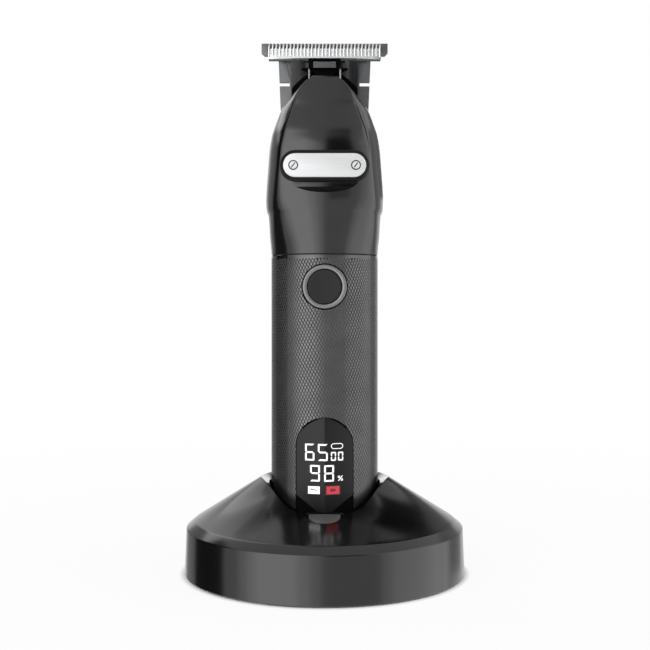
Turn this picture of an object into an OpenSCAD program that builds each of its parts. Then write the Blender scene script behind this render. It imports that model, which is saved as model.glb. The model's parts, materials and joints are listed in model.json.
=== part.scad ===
// Cordless T-blade hair clipper standing in its round charging dock.
// Millimetres, +Z up, front towards -Y, origin under the middle of the dock.

/* [Dock] */
// Radius of the dock at its foot
dock_r = 46.4; // [44:0.1:52]
// Height of the dock's upright side wall above the base plate
dock_side_h = 14.3; // [12:0.1:16]
// How much the side wall leans in by its top
dock_draft = 0.6; // [0:0.1:1.5]
// Width of the bevel above the side wall
shoulder_w = 2.8; // [1.5:0.1:4]
// Height of the bevel above the side wall
shoulder_h = 2.3; // [1.5:0.1:4]
// Height of the rim above the bevel at the sides and back
rim_rise = 13.7; // [11:0.1:18]
// How far the rim dips at the front
rim_dip = 7.5; // [5:0.1:8.5]
// Half width of the level part of the rim at the front
rim_level = 11; // [7:0.1:13]
// Width of the sloping rim face at the sides and back
rim_w = 3.6; // [2.4:0.1:4.2]
// Wall of the dock shell
shell_wall = 2.2; // [1.6:0.1:2.6]
// How far the rubber feet stand below the base plate
foot_proud = 0.9; // [0.6:0.1:1.5]
// How far the shell reaches below the base plate
skirt_drop = 0.5; // [0:0.1:0.5]
// Radius of a rubber foot
foot_r = 5; // [3:0.1:6]
// Depth to which a foot is let into the base plate
foot_inset = 0.4; // [0.2:0.1:0.8]
// Thickness of the base plate
base_t = 2.0; // [1.6:0.1:3]
// Thickness of the steel ballast
ballast_t = 5; // [3:0.1:7]
// Radial width of the steel ballast
ballast_w = 14; // [8:0.5:15]
// Width of the status light at the front lip
light_w = 12.2; // [8:0.1:14]
// Length of the status light down the front slope
light_len = 9.2; // [5:0.1:12]
// Thickness of the status light's lens
light_t = 1.5; // [1:0.1:2]
// Width of the power inlet's opening
inlet_w = 9.0; // [8:0.1:10]
// Height of the power inlet
inlet_h = 3.2; // [2.8:0.1:3.6]

/* [Well] */
// Radial gap between the grip and the well
well_gap = 0.6; // [0.4:0.05:1.5]
// Wall of the well cup
cup_wall = 1.5; // [1.2:0.1:2.5]
// Thickness of the well cup's floor
cup_floor_t = 3.0; // [2.4:0.1:4]
// Room under the well cup's floor
cup_stand = 1.8; // [1:0.1:3]
// Screw circle radius beyond the cup's wall
screw_out = 2.6; // [2.4:0.1:3.4]
// Distance between the two charging contacts
contact_pitch = 8; // [6:0.1:12]
// Radius of a sprung contact pin
pin_r = 0.82; // [0.6:0.02:1]
// Travel of a sprung contact pin
pin_travel = 0.8; // [0.4:0.1:1.2]

/* [Grip] */
// Radius of the grip
grip_r = 17.74; // [17.5:0.02:20]
// Wall of the grip sleeve
grip_wall = 1.7; // [1.2:0.1:1.9]
// Length of the grip sleeve
grip_len = 93; // [90:0.5:110]
// Height of the bottom cap below the sleeve
cap_h = 4.0; // [3:0.1:6]
// Chamfer around the bottom cap
cap_chamfer = 1.2; // [0.5:0.1:2]
// Depth to which cap and collar reach into the sleeve
spigot_h = 4.0; // [3:0.1:5]
// Wall of the inner chassis
chassis_wall = 1.5; // [1.2:0.1:1.8]
// Radius of the battery cell
battery_r = 9; // [8:0.1:9.2]
// Length of the battery cell
battery_len = 50; // [40:0.5:52]
// Distance of the battery behind the centre line
battery_back = 4.6; // [4:0.1:4.9]
// Thickness of the main board
board_t = 1.6; // [1:0.1:2]
// Width of the main board
board_w = 26; // [25.5:0.1:26.4]

/* [Display and button] */
// Width of the display window
window_w = 18.1; // [16:0.1:19]
// Height of the window's point above the foot of the grip
window_up = 10.3; // [9:0.1:16]
// Straight side length of the window
window_side = 15.75; // [12:0.05:18]
// Height of the window's pointed bottom
window_point = 5.5; // [4:0.1:6.5]
// Width of the flat tip under the point
window_tip = 4.6; // [3:0.1:6]
// Thickness of the display module
display_t = 2.2; // [1.5:0.1:2.3]
// Distance of the button's centre below the seam
button_drop = 10.5; // [10:0.1:13]
// Outer radius of the ring around the button
ring_r = 7.35; // [7:0.05:7.6]
// Radius of the button
button_r = 5.55; // [5:0.05:5.8]
// How far the ring stands proud of the grip
ring_proud = 0.3; // [0.1:0.05:0.6]
// Travel of the button
button_travel = 0.6; // [0.3:0.05:0.7]

/* [Head] */
// Height of the head above the seam
head_h = 58.5; // [56:0.1:62]
// Bulge of the head beyond the grip, each side
head_bulge = 1.71; // [1:0.01:2.5]
// Bulge of the head's front beyond the grip
head_belly = 1.2; // [0.6:0.05:2]
// Half width of the head at its top
nose_half = 4.7; // [4:0.1:6]
// Distance of the head's front from the centre line at its top
nose_front = 8.6; // [8.2:0.1:9.4]
// Wall of the head at its sides and back
head_wall = 1.8; // [1.4:0.1:2.2]
// Wall of the head at its front
face_wall = 3.0; // [2.4:0.1:3.2]
// Width of the name plate
plate_w = 26.4; // [24:0.1:27]
// Height of the name plate
plate_h = 7.6; // [6:0.1:9]
// Thickness of the name plate
plate_t = 0.6; // [0.4:0.05:1]
// Rim of the bezel around the name plate
bezel_rim = 1.1; // [0.8:0.05:1.4]
// Distance of the plate's centre above the seam
plate_up = 28.0; // [27.5:0.1:30]
// Distance between the plate's two screws
plate_screw_pitch = 19.9; // [18:0.1:20.5]

/* [Motor] */
// Radius of the motor's can
motor_r = 10.2; // [9.5:0.1:10.6]
// Length of the motor's can
motor_len = 24; // [20:0.5:24]
// Radius of the motor's shaft
shaft_r = 1.0; // [0.8:0.05:1.2]
// Throw of the eccentric pin
throw = 1.2; // [0.8:0.05:1.25]
// Radius of the eccentric pin
crank_r = 1.0; // [0.8:0.05:1.1]
// Distance of the motor's axis in front of the centre line
motor_front = 2.0; // [1.8:0.05:2.4]

/* [Blades] */
// Width of the fixed blade's head
fixed_w = 42.6; // [40:0.1:46]
// Width of the fixed blade's stem
stem_w = 31.2; // [29:0.1:33]
// Thickness of the fixed blade
fixed_t = 1.6; // [1.2:0.1:2]
// Width of the moving blade
cutter_w = 37.9; // [36:0.1:38]
// Height of the moving blade
cutter_h = 5.8; // [5:0.1:6.5]
// Thickness of the moving blade
cutter_t = 1.6; // [1.2:0.1:1.6]
// Height of the blade tips above the top of the head
blade_rise = 13.3; // [12.5:0.1:14]
// Pitch of the teeth
tooth_pitch = 1.21; // [1:0.01:1.6]
// Depth of the gaps between the teeth
tooth_gap = 1.6; // [1.2:0.1:2]

/* [Hidden] */
$fn = 64;

fit = 0.1;          // close fit between pieces that are fastened together
slip = 0.05;        // running fit of pins and shafts
apart = 0.3;        // room between bodies that move past each other
eps = 0.5;          // overrun of a cut
beyond = 40;        // size of a cut that takes away one whole side

// Heights
base_z = foot_proud;
base_top = base_z + base_t;
cup_floor_z = base_top + cup_stand;
floor_z = cup_floor_z + cup_floor_t;
trim_z = floor_z + apart;
sleeve_z = trim_z + cap_h;
seam_z = sleeve_z + grip_len;
side_z = base_z + dock_side_h;
shoulder_z = side_z + shoulder_h;
rim_z = shoulder_z + rim_rise;

// Dock radii
side_r = dock_r - dock_draft;
shoulder_r = side_r - shoulder_w;
well_r = grip_r + well_gap;
front_r = well_r + 0.15 * rim_w;
base_r = side_r - shell_wall - fit;
rim_in_z = rim_z - 0.5 * rim_w;
lip_z = rim_in_z - rim_dip - 5.7;
cup_r = well_r + cup_wall;
lip_r = cup_r + 0.2;
screw_circle = cup_r + screw_out;
post_r = 3;
ballast_in = screw_circle + post_r + 1.2;
ballast_out = min(ballast_in + ballast_w, base_r - 1);

// Grip
bore_r = grip_r - grip_wall;
spigot_r = bore_r - fit;
seam_gap = 0.3;
chassis_r = bore_r - 0.15;
chassis_in = chassis_r - chassis_wall;
tab_room = 2.6;
board_back = battery_back - battery_r - tab_room;
board_front = board_back - board_t;
button_z = seam_z - button_drop;
window_r = window_w / 2;
window_tip_z = sleeve_z + window_up;
window_low = window_tip_z + window_point;
arch_z = window_low + window_side;
window_top = arch_z + window_r;
lens_edge = sqrt(grip_r * grip_r - window_r * window_r);
lens_back = lens_edge - 1.0;
collar_z = button_z + ring_r + 0.4;
collar_top = seam_z + 6;
chassis_z = sleeve_z + spigot_h + fit;
chassis_top = collar_z - fit;
battery_up = 24;
tab_w = 5;

// Head
head_top = seam_z + head_h;
split_y = -1.0;
visor_y = -4.2;
visor_h = 6.5;
rear_drop = 12.2;
scoop_h = 3.7;
scoop_in = 1.9;
plate_z = seam_z + plate_up;
belly_y = -(grip_r + head_belly);
bezel_y = belly_y - 0.45;
plate_y = bezel_y - 0.2;
bezel_back = belly_y + face_wall + 0.3;

// Motor and cam
motor_y = -motor_front;
motor_z = collar_top + fit;
can_z = motor_z + 1.8;
can_top = can_z + motor_len;
mount_t = 2;
mount_z = can_top + fit;
bracket_z = mount_z + mount_t + fit;
bracket_foot_t = 2;
cam_z = bracket_z + bracket_foot_t + 2;
cam_t = 5;
crank_top = cam_z + cam_t + 9.5;

// Blades
tip_z = head_top + blade_rise;
cutter_z = tip_z - 0.1 - cutter_h;
bracket_front = 0.8;
bracket_t = 2.75;
bracket_back = bracket_front + bracket_t;
stem_y = bracket_back + 0.05;
cutter_y = stem_y - slip - cutter_t;
carrier_front = -2.6;
carrier_back = bracket_front - apart;
carrier_z = cam_z + cam_t + 4.5;
bracket_top = cutter_z - apart;
notch_z = bracket_top - 2.4;
band_z = notch_z - 2.3;
stem_up = 4.9;
stem_low = bracket_z + bracket_foot_t + stem_up;
ledge_z = stem_low - 1;
ledge_t = 1.7;
bracket_w = 22.4;
carrier_half = 3.4;
band_half = 5.4;
spring_z = head_top - 8;
spring_y = -1.6;
coil_r = 1.95;
leg_x = 5.15;
blade_screw_z = stem_low + 4.5;
blade_screw_x = 7;
blade_screw_r = 1.0;

// Rise of the rim's notch at distance x from the middle
function notch_at(x) = (x - rim_level + sqrt((x - rim_level) * (x - rim_level) + 2)) / 2;
// Height of the rim's inner edge at azimuth a, where 0 is the front
function rim_at(a) = rim_in_z - rim_dip
    + (cos(a) < 0 ? rim_dip : rim_dip * notch_at(well_r * abs(sin(a))) / notch_at(well_r));
// Width of the rim's face, which fades out towards the front
function rim_share(a) = let(t = min(1, max(0, (acos(cos(a)) - 60) / 32))) t * t * (3 - 2 * t);
function rim_width(a) = rim_w * (0.15 + 0.85 * rim_share(a));
// Height of the dock's slope at azimuth a and radius r
function slope_at(a, r) = let(w = rim_width(a), k = (shoulder_r - r) / (shoulder_r - well_r - w))
    shoulder_z + (rim_at(a) + 0.5 * w - shoulder_z) * k;

slope_steps = 5;
turn_steps = 72;

// One section of the dock's shell as radius and height, up the outside, down the well, back inside
function dock_section(a) = let(r = well_r + rim_width(a), h = rim_at(a), under = max(r, lip_r + 0.3)) concat(
    [[dock_r, base_z - skirt_drop], [(dock_r + side_r) / 2, (base_z + side_z) / 2], [side_r, side_z]],
    [for (i = [0:slope_steps]) let(x = shoulder_r + (r - shoulder_r) * i / slope_steps) [x, slope_at(a, x)]],
    [[well_r, h], [well_r, lip_z], [lip_r, lip_z]],
    [for (i = [slope_steps:-1:0]) let(x = shoulder_r + (under - shoulder_r) * i / slope_steps)
        [x, slope_at(a, x) - shell_wall - 0.35 * i / slope_steps]],
    [[base_r + fit, side_z - 1], [base_r + fit, base_z - skirt_drop]]);

// Closed skin over rings of equal length; a loop joins the last ring to the first
module skin(rings, loop) {
    n = len(rings);
    m = len(rings[0]);
    last = loop ? n : n - 1;
    sides = [for (i = [0:last - 1]) for (j = [0:m - 1])
        let(a = i * m, b = ((i + 1) % n) * m, k = (j + 1) % m) each [
            [a + j, b + j, b + k], [a + j, b + k, a + k]]];
    caps = loop ? [] : [
        [for (j = [0:m - 1]) j],
        [for (j = [m - 1:-1:0]) (n - 1) * m + j]];
    polyhedron([for (ring = rings) each ring], concat(sides, caps), convexity = 8);
}

// A cylinder that lies along Y, from y to y + length
module rod_y(r, y, length, x, z) {
    translate([x, y, z]) rotate([-90, 0, 0]) cylinder(r = r, h = length);
}

// A prism along Y, from y to y + length, over an outline in X and Z
module slab_y(y, length) {
    translate([0, y + length, 0]) rotate([90, 0, 0]) linear_extrude(length) children();
}

module stadium(w, h) {
    square([w - h, h], center = true);
    for (side = [-1, 1]) translate([side * (w - h) / 2, 0]) circle(r = h / 2);
}

module tube(outer, inner, h) {
    difference() {
        cylinder(r = outer, h = h);
        translate([0, 0, -eps]) cylinder(r = inner, h = h + 2 * eps);
    }
}

// Half outline of the status light, a half ellipse in front of the rim
light_y = -(front_r - 0.1);
light_tilt = atan((slope_at(0, front_r) - shoulder_z) / (shoulder_r - front_r));
module light_outline(grow) {
    polygon([for (i = [0:24]) let(a = 180 + i * 7.5)
        [(light_w / 2 + grow) * cos(a), (light_len + grow) * sin(a)]]);
}
module light_solid(grow, depth, lift) {
    translate([0, light_y, slope_at(0, front_r)]) rotate([light_tilt, 0, 0])
        translate([0, 0, -depth]) linear_extrude(depth + lift) light_outline(grow);
}

module dock_shell() color("#161616") difference() {
    skin([for (i = [turn_steps - 1:-1:0]) let(a = i * 360 / turn_steps)
        [for (p = dock_section(a)) [p[0] * sin(a), -p[0] * cos(a), p[1]]]], true);
    light_solid(fit, light_t + fit, 3);
    translate([-inlet_w / 2 - fit, base_r - 2, inlet_z - fit])
        cube([inlet_w + 2 * fit, dock_r - base_r + 4, inlet_h + 2 * fit]);
}

module status_light() color("#55575c") light_solid(0, light_t, 0);

// Small board with the lamp, on a shelf of the well cup
module status_light_board() color("#1f5c38") {
    z = status_board_z;
    translate([-4, -cup_r - 6.2, z]) cube([8, 6, 1]);
    translate([-1.2, -cup_r - 5, z + 1]) cube([2.4, 2.4, 1.0]);
}
status_board_z = lip_z - 4.5;

module dock_base_plate() color("#1c1c1c") difference() {
    union() {
        translate([0, 0, base_z]) cylinder(r = base_r, h = base_t, $fn = 128);
        for (x = [-7, 7]) for (y = [board_y + 3, board_y + 11]) translate([x, y, base_top - fit])
            cylinder(r = 1.6, h = dock_board_z - base_top + fit);
    }
    for (a = foot_angles) rotate([0, 0, a]) translate([foot_circle, 0, base_z - eps])
        cylinder(r = foot_r + fit, h = foot_inset + eps);
    for (a = screw_angles) rotate([0, 0, a]) translate([screw_circle, 0, base_z - eps]) {
        cylinder(r = 1.2, h = base_t + 2 * eps);
        cylinder(r = 2.3, h = 0.9 + eps);
    }
}
foot_angles = [45, 135, 225, 315];
foot_circle = base_r - foot_r - 3;
screw_angles = [45, 135, 225, 315];
board_y = ballast_in + 1;
dock_board_z = base_top + 1.1;
inlet_z = dock_board_z + 1.2;

module dock_feet() color("#0d0d0d")
    for (a = foot_angles) rotate([0, 0, a]) translate([foot_circle, 0, 0])
        cylinder(r = foot_r, h = foot_proud + foot_inset);

module dock_screws() color("#b9bcc0")
    for (a = screw_angles) rotate([0, 0, a]) translate([screw_circle, 0, base_z + 0.1]) {
        cylinder(r = 2.1, h = 0.8);
        cylinder(r = 1.0, h = 8);
    }

module dock_ballast() color("#6f7378") translate([0, 0, base_top]) rotate([0, 0, 122])
    rotate_extrude(angle = 296, $fn = 96)
        translate([ballast_in, 0]) square([ballast_out - ballast_in, ballast_t]);

module dock_circuit_board() color("#1f5c38")
    translate([-9, board_y, dock_board_z]) cube([18, base_r - board_y - 1.3, 1.2]);

module power_inlet() color("#c4c7cb") {
    depth = 7.4;
    wall = 0.35;
    difference() {
        translate([0, side_r - 0.1 - depth, inlet_z + inlet_h / 2]) rotate([-90, 0, 0])
            linear_extrude(depth) stadium(inlet_w, inlet_h);
        translate([0, side_r - depth + 0.9, inlet_z + inlet_h / 2]) rotate([-90, 0, 0])
            linear_extrude(depth) stadium(inlet_w - 2 * wall, inlet_h - 2 * wall);
    }
    translate([-3.3, side_r - depth + 0.5, inlet_z + inlet_h / 2 - 0.35]) cube([6.6, depth - 1.6, 0.7]);
}

module well_cup() color("#1a1a1a") difference() {
    union() {
        translate([0, 0, base_top]) cylinder(r = cup_r, h = lip_z - fit - base_top);
        for (a = screw_angles) rotate([0, 0, a]) translate([screw_circle, 0, base_top])
            cylinder(r = post_r, h = 8.5);
        translate([-5, -cup_r - 6.4, status_board_z - 1.6]) cube([10, 7.4, 1.6]);
    }
    translate([0, 0, floor_z]) cylinder(r = well_r, h = lip_z);
    translate([0, 0, base_top - eps]) cylinder(r = well_r - 2, h = cup_stand + eps);
    for (x = contact_x) translate([x, 0, base_top])
        cylinder(r = barrel_r + slip, h = cup_stand + cup_floor_t + eps);
    for (a = screw_angles) rotate([0, 0, a]) translate([screw_circle, 0, base_top - eps])
        cylinder(r = 1.05, h = 7.2 + eps);
}
contact_x = [-contact_pitch / 2, contact_pitch / 2];
barrel_r = pin_r + 0.7;
barrel_z = base_top + 0.4;
barrel_top = floor_z - 0.2;
tip_gap = 0.15;

module contact_barrels() color("#c9a24b")
    for (x = contact_x) translate([x, 0, 0]) difference() {
        translate([0, 0, barrel_z]) cylinder(r = barrel_r, h = barrel_top - barrel_z);
        translate([0, 0, barrel_z + 0.6]) cylinder(r = pin_r + slip, h = barrel_top);
    }

// A plunger with a stepped, rounded tip
module contact_pin(x) {
    low = barrel_z + 0.6 + pin_travel + 0.1;
    high = trim_z - tip_gap;
    translate([x, 0, low]) cylinder(r = pin_r, h = high - 0.45 - low);
    translate([x, 0, high - 0.45]) intersection() {
        cylinder(r = pin_r, h = 0.45);
        translate([0, 0, 0.45 - pin_r * 1.2]) sphere(r = pin_r * 1.2, $fn = 32);
    }
}
module contact_pin_left() color("#d8b45e") contact_pin(contact_x[0]);
module contact_pin_right() color("#d8b45e") contact_pin(contact_x[1]);

// Window outline in X and Z: round arch, straight sides, pointed bottom
module window(grow) {
    translate([0, arch_z]) circle(r = window_r + grow, $fn = 96);
    polygon([[-window_r - grow, arch_z], [-window_r - grow, window_low - grow / 2],
        [-window_tip / 2 - grow, window_tip_z - grow], [window_tip / 2 + grow, window_tip_z - grow],
        [window_r + grow, window_low - grow / 2], [window_r + grow, arch_z]]);
}

module grip_sleeve() color("#232323") difference() {
    translate([0, 0, sleeve_z]) tube(grip_r, bore_r, grip_len - seam_gap / 2, $fn = 128);
    slab_y(-grip_r - 2, grip_r - 6) window(fit);
    rod_y(ring_r + fit, -grip_r - 2, grip_r - 6, 0, button_z);
}

module bottom_cap() color("#181818") difference() {
    rotate_extrude($fn = 96) polygon([[0, trim_z], [grip_r - cap_chamfer - 0.2, trim_z],
        [grip_r - 0.2, trim_z + cap_chamfer], [grip_r - 0.2, sleeve_z - fit / 2],
        [spigot_r, sleeve_z - fit / 2], [spigot_r, sleeve_z + spigot_h],
        [spigot_r - 2, sleeve_z + spigot_h], [spigot_r - 2, sleeve_z], [0, sleeve_z]]);
    for (x = contact_x) translate([x, 0, trim_z - eps]) {
        cylinder(r = pad_r + slip, h = pad_t + eps);
        cylinder(r = 0.85, h = cap_h + 2 * eps);
    }
    for (p = cap_screw_at) translate([p[0], p[1], trim_z - eps]) {
        cylinder(r = 1.2, h = cap_h + 2 * eps);
        cylinder(r = 2.2, h = 1.8 + eps);
    }
}
pad_r = 2.0;
pad_t = 1.2;
cap_screw_at = [[-9, 7.5], [9, 7.5]];

module cap_screws() color("#b9bcc0")
    for (p = cap_screw_at) translate([p[0], p[1], trim_z + 0.3]) {
        cylinder(r = 2.0, h = 1.5);
        cylinder(r = 1.0, h = cap_h + spigot_h + 5.5);
    }

module charge_pads() color("#d8b45e")
    for (x = contact_x) translate([x, 0, trim_z]) {
        cylinder(r = pad_r, h = pad_t);
        cylinder(r = 0.8, h = cap_h + 1.2);
    }

// Half tube behind the board, with two saddles for the battery and two screw posts
module chassis() color("#3a3d40") difference() {
    union() {
        difference() {
            translate([0, 0, chassis_z]) tube(chassis_r, chassis_in, chassis_top - chassis_z);
            cut_front();
        }
        for (z = [battery_z + 4, battery_z + battery_len - 6]) difference() {
            translate([0, 0, z]) cylinder(r = chassis_in + 0.4, h = 2);
            cut_front();
        }
        for (p = cap_screw_at) translate([p[0], p[1], chassis_z]) {
            cylinder(r = 2.6, h = 9);
            translate([p[0] > 0 ? 0 : -4.2, -1.2, 0]) cube([4.2, 2.4, 9]);
        }
    }
    translate([0, battery_back, battery_z - eps])
        cylinder(r = battery_r + fit, h = battery_len + 2 * eps);
    for (p = cap_screw_at) translate([p[0], p[1], chassis_z - eps]) cylinder(r = 1.05, h = 7 + eps);
}
module cut_front() {
    translate([-grip_r, -2 * grip_r + board_back + fit, chassis_z - eps])
        cube([2 * grip_r, 2 * grip_r, chassis_top - chassis_z + 2 * eps]);
}
battery_z = chassis_z + battery_up;

module battery_cell() color("#2f6fb0") translate([0, battery_back, battery_z]) {
    cylinder(r = battery_r, h = battery_len - 0.8);
    translate([0, 0, battery_len - 0.8]) cylinder(r = battery_r * 0.35, h = 0.8);
}

// Nickel strips from each end of the cell forward to the board
module battery_tabs() color("#c4c7cb") {
    for (z = [battery_z - 0.35, battery_z + battery_len + 0.05])
        translate([-tab_w / 2, board_back + 0.05, z]) cube([tab_w, battery_back - board_back, 0.3]);
}

module main_board() color("#1f5c38")
    translate([-board_w / 2, board_front, chassis_z + 1])
        cube([board_w, board_t, chassis_top - chassis_z - 1.5]);

module board_chips() color("#2b2b2b") {
    for (c = board_chip_list)
        translate([c[0] - c[2] / 2, board_front - c[4], chassis_z + c[1]]) cube([c[2], c[4], c[3]]);
}
// Place across, height up the board, width, height and thickness of each chip
board_chip_list = [
    [-5, 54, 7, 7, 1.2], [4, 55, 4, 5, 1.4], [9, 52, 3, 6, 1.6],
    [-5, 44, 6, 4, 1.0], [4, 44, 5, 5, 2.4],
];

switch_y = -grip_r + 5.1;
module button_switch() color("#a8abb0") {
    translate([-3, switch_y + 0.9, button_z - 3]) cube([6, board_front - switch_y - 0.9, 6]);
    rod_y(1.6, switch_y, 1.0, 0, button_z);
}

ring_y = -grip_r - ring_proud;
ring_back = -grip_r + 4.5;
module button_ring() color("#6d7075") difference() {
    rod_y(ring_r, ring_y, ring_back - ring_y, 0, button_z);
    rod_y(button_r + fit, ring_y - eps, ring_back - ring_y - 1.0 + eps, 0, button_z);
    rod_y(2.0, ring_y, ring_back - ring_y + eps, 0, button_z);
}

module power_button() color("#262626") {
    face = -grip_r + 0.05;
    rod_y(button_r, face, 2.2, 0, button_z);
    rod_y(1.9, face + 2, switch_y - button_travel - slip - face - 2, 0, button_z);
}

// Two flat facets that meet in an upright ridge
module display_lens() color("#101114") intersection() {
    slab_y(-grip_r - 1, grip_r) window(0);
    translate([0, 0, window_tip_z - 1]) linear_extrude(window_top - window_tip_z + 2)
        polygon([[0, -grip_r], [window_r, -lens_edge], [window_r, -lens_back],
            [-window_r, -lens_back], [-window_r, -lens_edge]]);
}

module display_module() color("#0c0c0e") {
    y = -lens_back + 0.05;
    translate([-module_w / 2, y, window_tip_z + module_end])
        cube([module_w, display_t, window_top - window_tip_z - 2 * module_end]);
    translate([-header_w / 2, y + display_t - fit, window_low + 2])
        cube([header_w, board_front - y - display_t + fit, header_h]);
}
module_w = 14;
module_end = 2.5;
header_w = 10;
header_h = 2.5;

module seam_ring() color("#0a0a0a")
    translate([0, 0, seam_z - seam_gap / 2]) tube(grip_r - 0.35, bore_r, seam_gap, $fn = 96);

// Stations up the head: share of height, bulge, narrowing, front fall, crown, back fall, flank
head_table = [
    [0,     0,    0,     0,     1,    0,    2.34],
    [0.12,  0.33, 0,     0,     0.75, 0,    2.8],
    [0.222, 0.56, 0,     0,     0.56, 0.02, 3.2],
    [0.253, 0.88, 0,     0,     0.52, 0.03, 3.7],
    [0.308, 1,    0,     0,     0.45, 0.06, 4.0],
    [0.398, 1,    0.017, 0,     0.33, 0.13, 4.1],
    [0.49,  1,    0.044, 0.023, 0.22, 0.23, 4.1],
    [0.583, 1,    0.072, 0.1,   0.1,  0.36, 4.15],
    [0.675, 1,    0.126, 0.265, 0.03, 0.5,  4.4],
    [0.752, 1,    0.224, 0.44,  0.03, 0.62, 4.5],
    [0.82,  1,    0.329, 0.594, 0.03, 0.73, 3.6],
    [0.865, 1,    0.458, 0.694, 0.03, 0.79, 2.8],
    [0.906, 1,    0.583, 0.787, 0.02, 0.85, 1.6],
    [0.94,  1,    0.715, 0.865, 0.02, 0.9,  1.0],
    [0.974, 1,    0.858, 0.942, 0.01, 0.96, 0.7],
    [1,     1,    1,     1,     0.01, 1,    0.5],
];
// A station at any height, read between the rows of the table
function station_at(z) = let(k = (z - seam_z) / head_h)
    [for (c = [0:6]) lookup(k, [for (row = head_table) [row[0], row[c]]])];
back_top = 4;
edge_at_seam = grip_r - head_table[0][6];
seam_crown = grip_r - sqrt(grip_r * grip_r - edge_at_seam * edge_at_seam);

// Half width, front and back of a station, less the wall
function half_of(s, wall) = nose_half + (grip_r + head_bulge * s[1] - nose_half) * (1 - s[2]) - wall;
function front_of(s, wall) = nose_front + (grip_r + head_belly * s[1] - nose_front) * (1 - s[3]) - wall;
function back_of(s, wall) = back_top + (grip_r - back_top) * (1 - s[5]) - wall;

// Radius of the arc over a half chord with a given rise
function arc_r(half, rise) = (half * half + rise * rise) / (2 * rise);

// Right half of a section, from the front's middle to the back's middle
function half_section(s, wall, face) = let(
    w = half_of(s, wall), f = front_of(s, face), b = back_of(s, wall),
    flank = min(s[6], w * 0.4), e = w - flank,
    crown = min(seam_crown * s[4] * (w / half_of(s, 0)), f * 0.6),
    edge_y = f - crown, face_r = arc_r(e, crown), flank_r = arc_r(edge_y, flank))
    concat(
        [for (i = [0:5]) let(x = e * i / 6) [x, -(f - face_r + sqrt(face_r * face_r - x * x))]],
        [for (i = [0:5]) let(y = edge_y * (1 - i / 6)) [w - flank_r + sqrt(flank_r * flank_r - y * y), -y]],
        [for (i = [0:9]) [w * cos(9 * i), b * sin(9 * i)]],
        [[0, b]]);
function head_ring(s, wall, face) = let(h = half_section(s, wall, face), n = len(h))
    concat(h, [for (i = [n - 2:-1:1]) [-h[i][0], h[i][1]]]);
function at_height(ring, z) = [for (p = ring) [p[0], p[1], z]];

module head_form(wall, face, low, high) {
    n = len(head_table);
    skin([for (i = [0:n - 1]) at_height(head_ring(head_table[i], wall, face_at(i, wall, face)),
        seam_z + head_table[i][0] * head_h + (i == 0 ? low : 0) + (i == n - 1 ? high : 0))], false);
}

// The face is as thin as the sides at the seam and reaches its full wall below the name plate
function face_at(i, wall, face) = wall + (face - wall) * min(1, head_table[i][0] / 0.3);

// Space inside both shells
module head_hollow() {
    difference() {
        head_form(head_wall, face_wall, -eps, eps);
        translate([-grip_r, bracket_back + 0.2, ledge_z - ledge_t]) cube([2 * grip_r, grip_r, head_h]);
    }
}

module head_front_shell() color("#1b1b1c") difference() {
    head_form(0, 0, seam_gap / 2, 0);
    head_hollow();
    translate([-beyond, split_y, seam_z - 1]) cube([2 * beyond, beyond, head_h + 2]);
    translate([-beyond, visor_y, head_top - visor_h]) cube([2 * beyond, beyond, visor_h + 1]);
    slab_y(belly_y - 2, face_wall + 4) translate([0, plate_z])
        stadium(bezel_w + 2 * fit, bezel_h + 2 * fit);
    scoop();
}
bezel_w = plate_w + 2 * bezel_rim;
bezel_h = plate_h + 2 * bezel_rim;

// Flat undercut below the name plate's bezel
module scoop() {
    high = plate_z - bezel_h / 2;
    low = high - scoop_h;
    translate([-beyond / 2, 0, 0]) rotate([90, 0, 90]) linear_extrude(beyond) polygon([
        [belly_y - 2, low - 3], [belly_y - 0.05, low], [belly_y + scoop_in, high], [belly_y - 2, high]]);
}

module head_rear_shell() color("#1b1b1c") difference() {
    head_form(0, 0, seam_gap / 2, 0);
    head_hollow();
    translate([-beyond, split_y + fit - beyond, seam_z - 1]) cube([2 * beyond, beyond, head_h + 2]);
    translate([-beyond, bracket_back - 0.1, ledge_z]) cube([2 * beyond, beyond, head_h]);
    translate([-beyond, -beyond, head_top - rear_drop]) cube(2 * beyond);
}

// Ring that joins grip and head, with the seat of the motor
module head_collar() color("#2c2e31") difference() {
    union() {
        translate([0, 0, collar_z]) cylinder(r = spigot_r - 0.05, h = seam_z - collar_z);
        translate([0, 0, collar_z]) cylinder(r = spigot_r - 0.8, h = collar_top - collar_z);
    }
    translate([0, 0, collar_z - eps]) cylinder(r = spigot_r - 2, h = collar_top - collar_z - 2 + eps);
    translate([0, motor_y, collar_z]) cylinder(r = 4, h = 20);
    translate([0, 8.5, collar_z]) cylinder(r = 2.5, h = 20);
}

module plate_bezel() color("#131313") difference() {
    slab_y(bezel_y, bezel_back - bezel_y) translate([0, plate_z]) stadium(bezel_w, bezel_h);
    slab_y(bezel_y - eps, plate_y + plate_t - bezel_y + eps)
        translate([0, plate_z]) stadium(plate_w + 2 * fit, plate_h + 2 * fit);
    for (x = plate_screw_x) rod_y(plate_hole_r, bezel_y - eps, bezel_back - bezel_y + 2 * eps, x, plate_z);
}
plate_screw_x = [-plate_screw_pitch / 2, plate_screw_pitch / 2];
plate_hole_r = 0.75;

module name_plate() color("#dfe1e3") difference() {
    slab_y(plate_y, plate_t - 0.02) translate([0, plate_z]) stadium(plate_w, plate_h);
    for (x = plate_screw_x) rod_y(plate_hole_r, plate_y - eps, plate_t + 2 * eps, x, plate_z);
}

module plate_screws() color("#c8cacd") for (x = plate_screw_x) {
    rod_y(1.4, plate_y - 0.3, 0.3, x, plate_z);
    rod_y(plate_hole_r - slip, plate_y - 0.1, bezel_back - plate_y - 0.3, x, plate_z);
}

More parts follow.
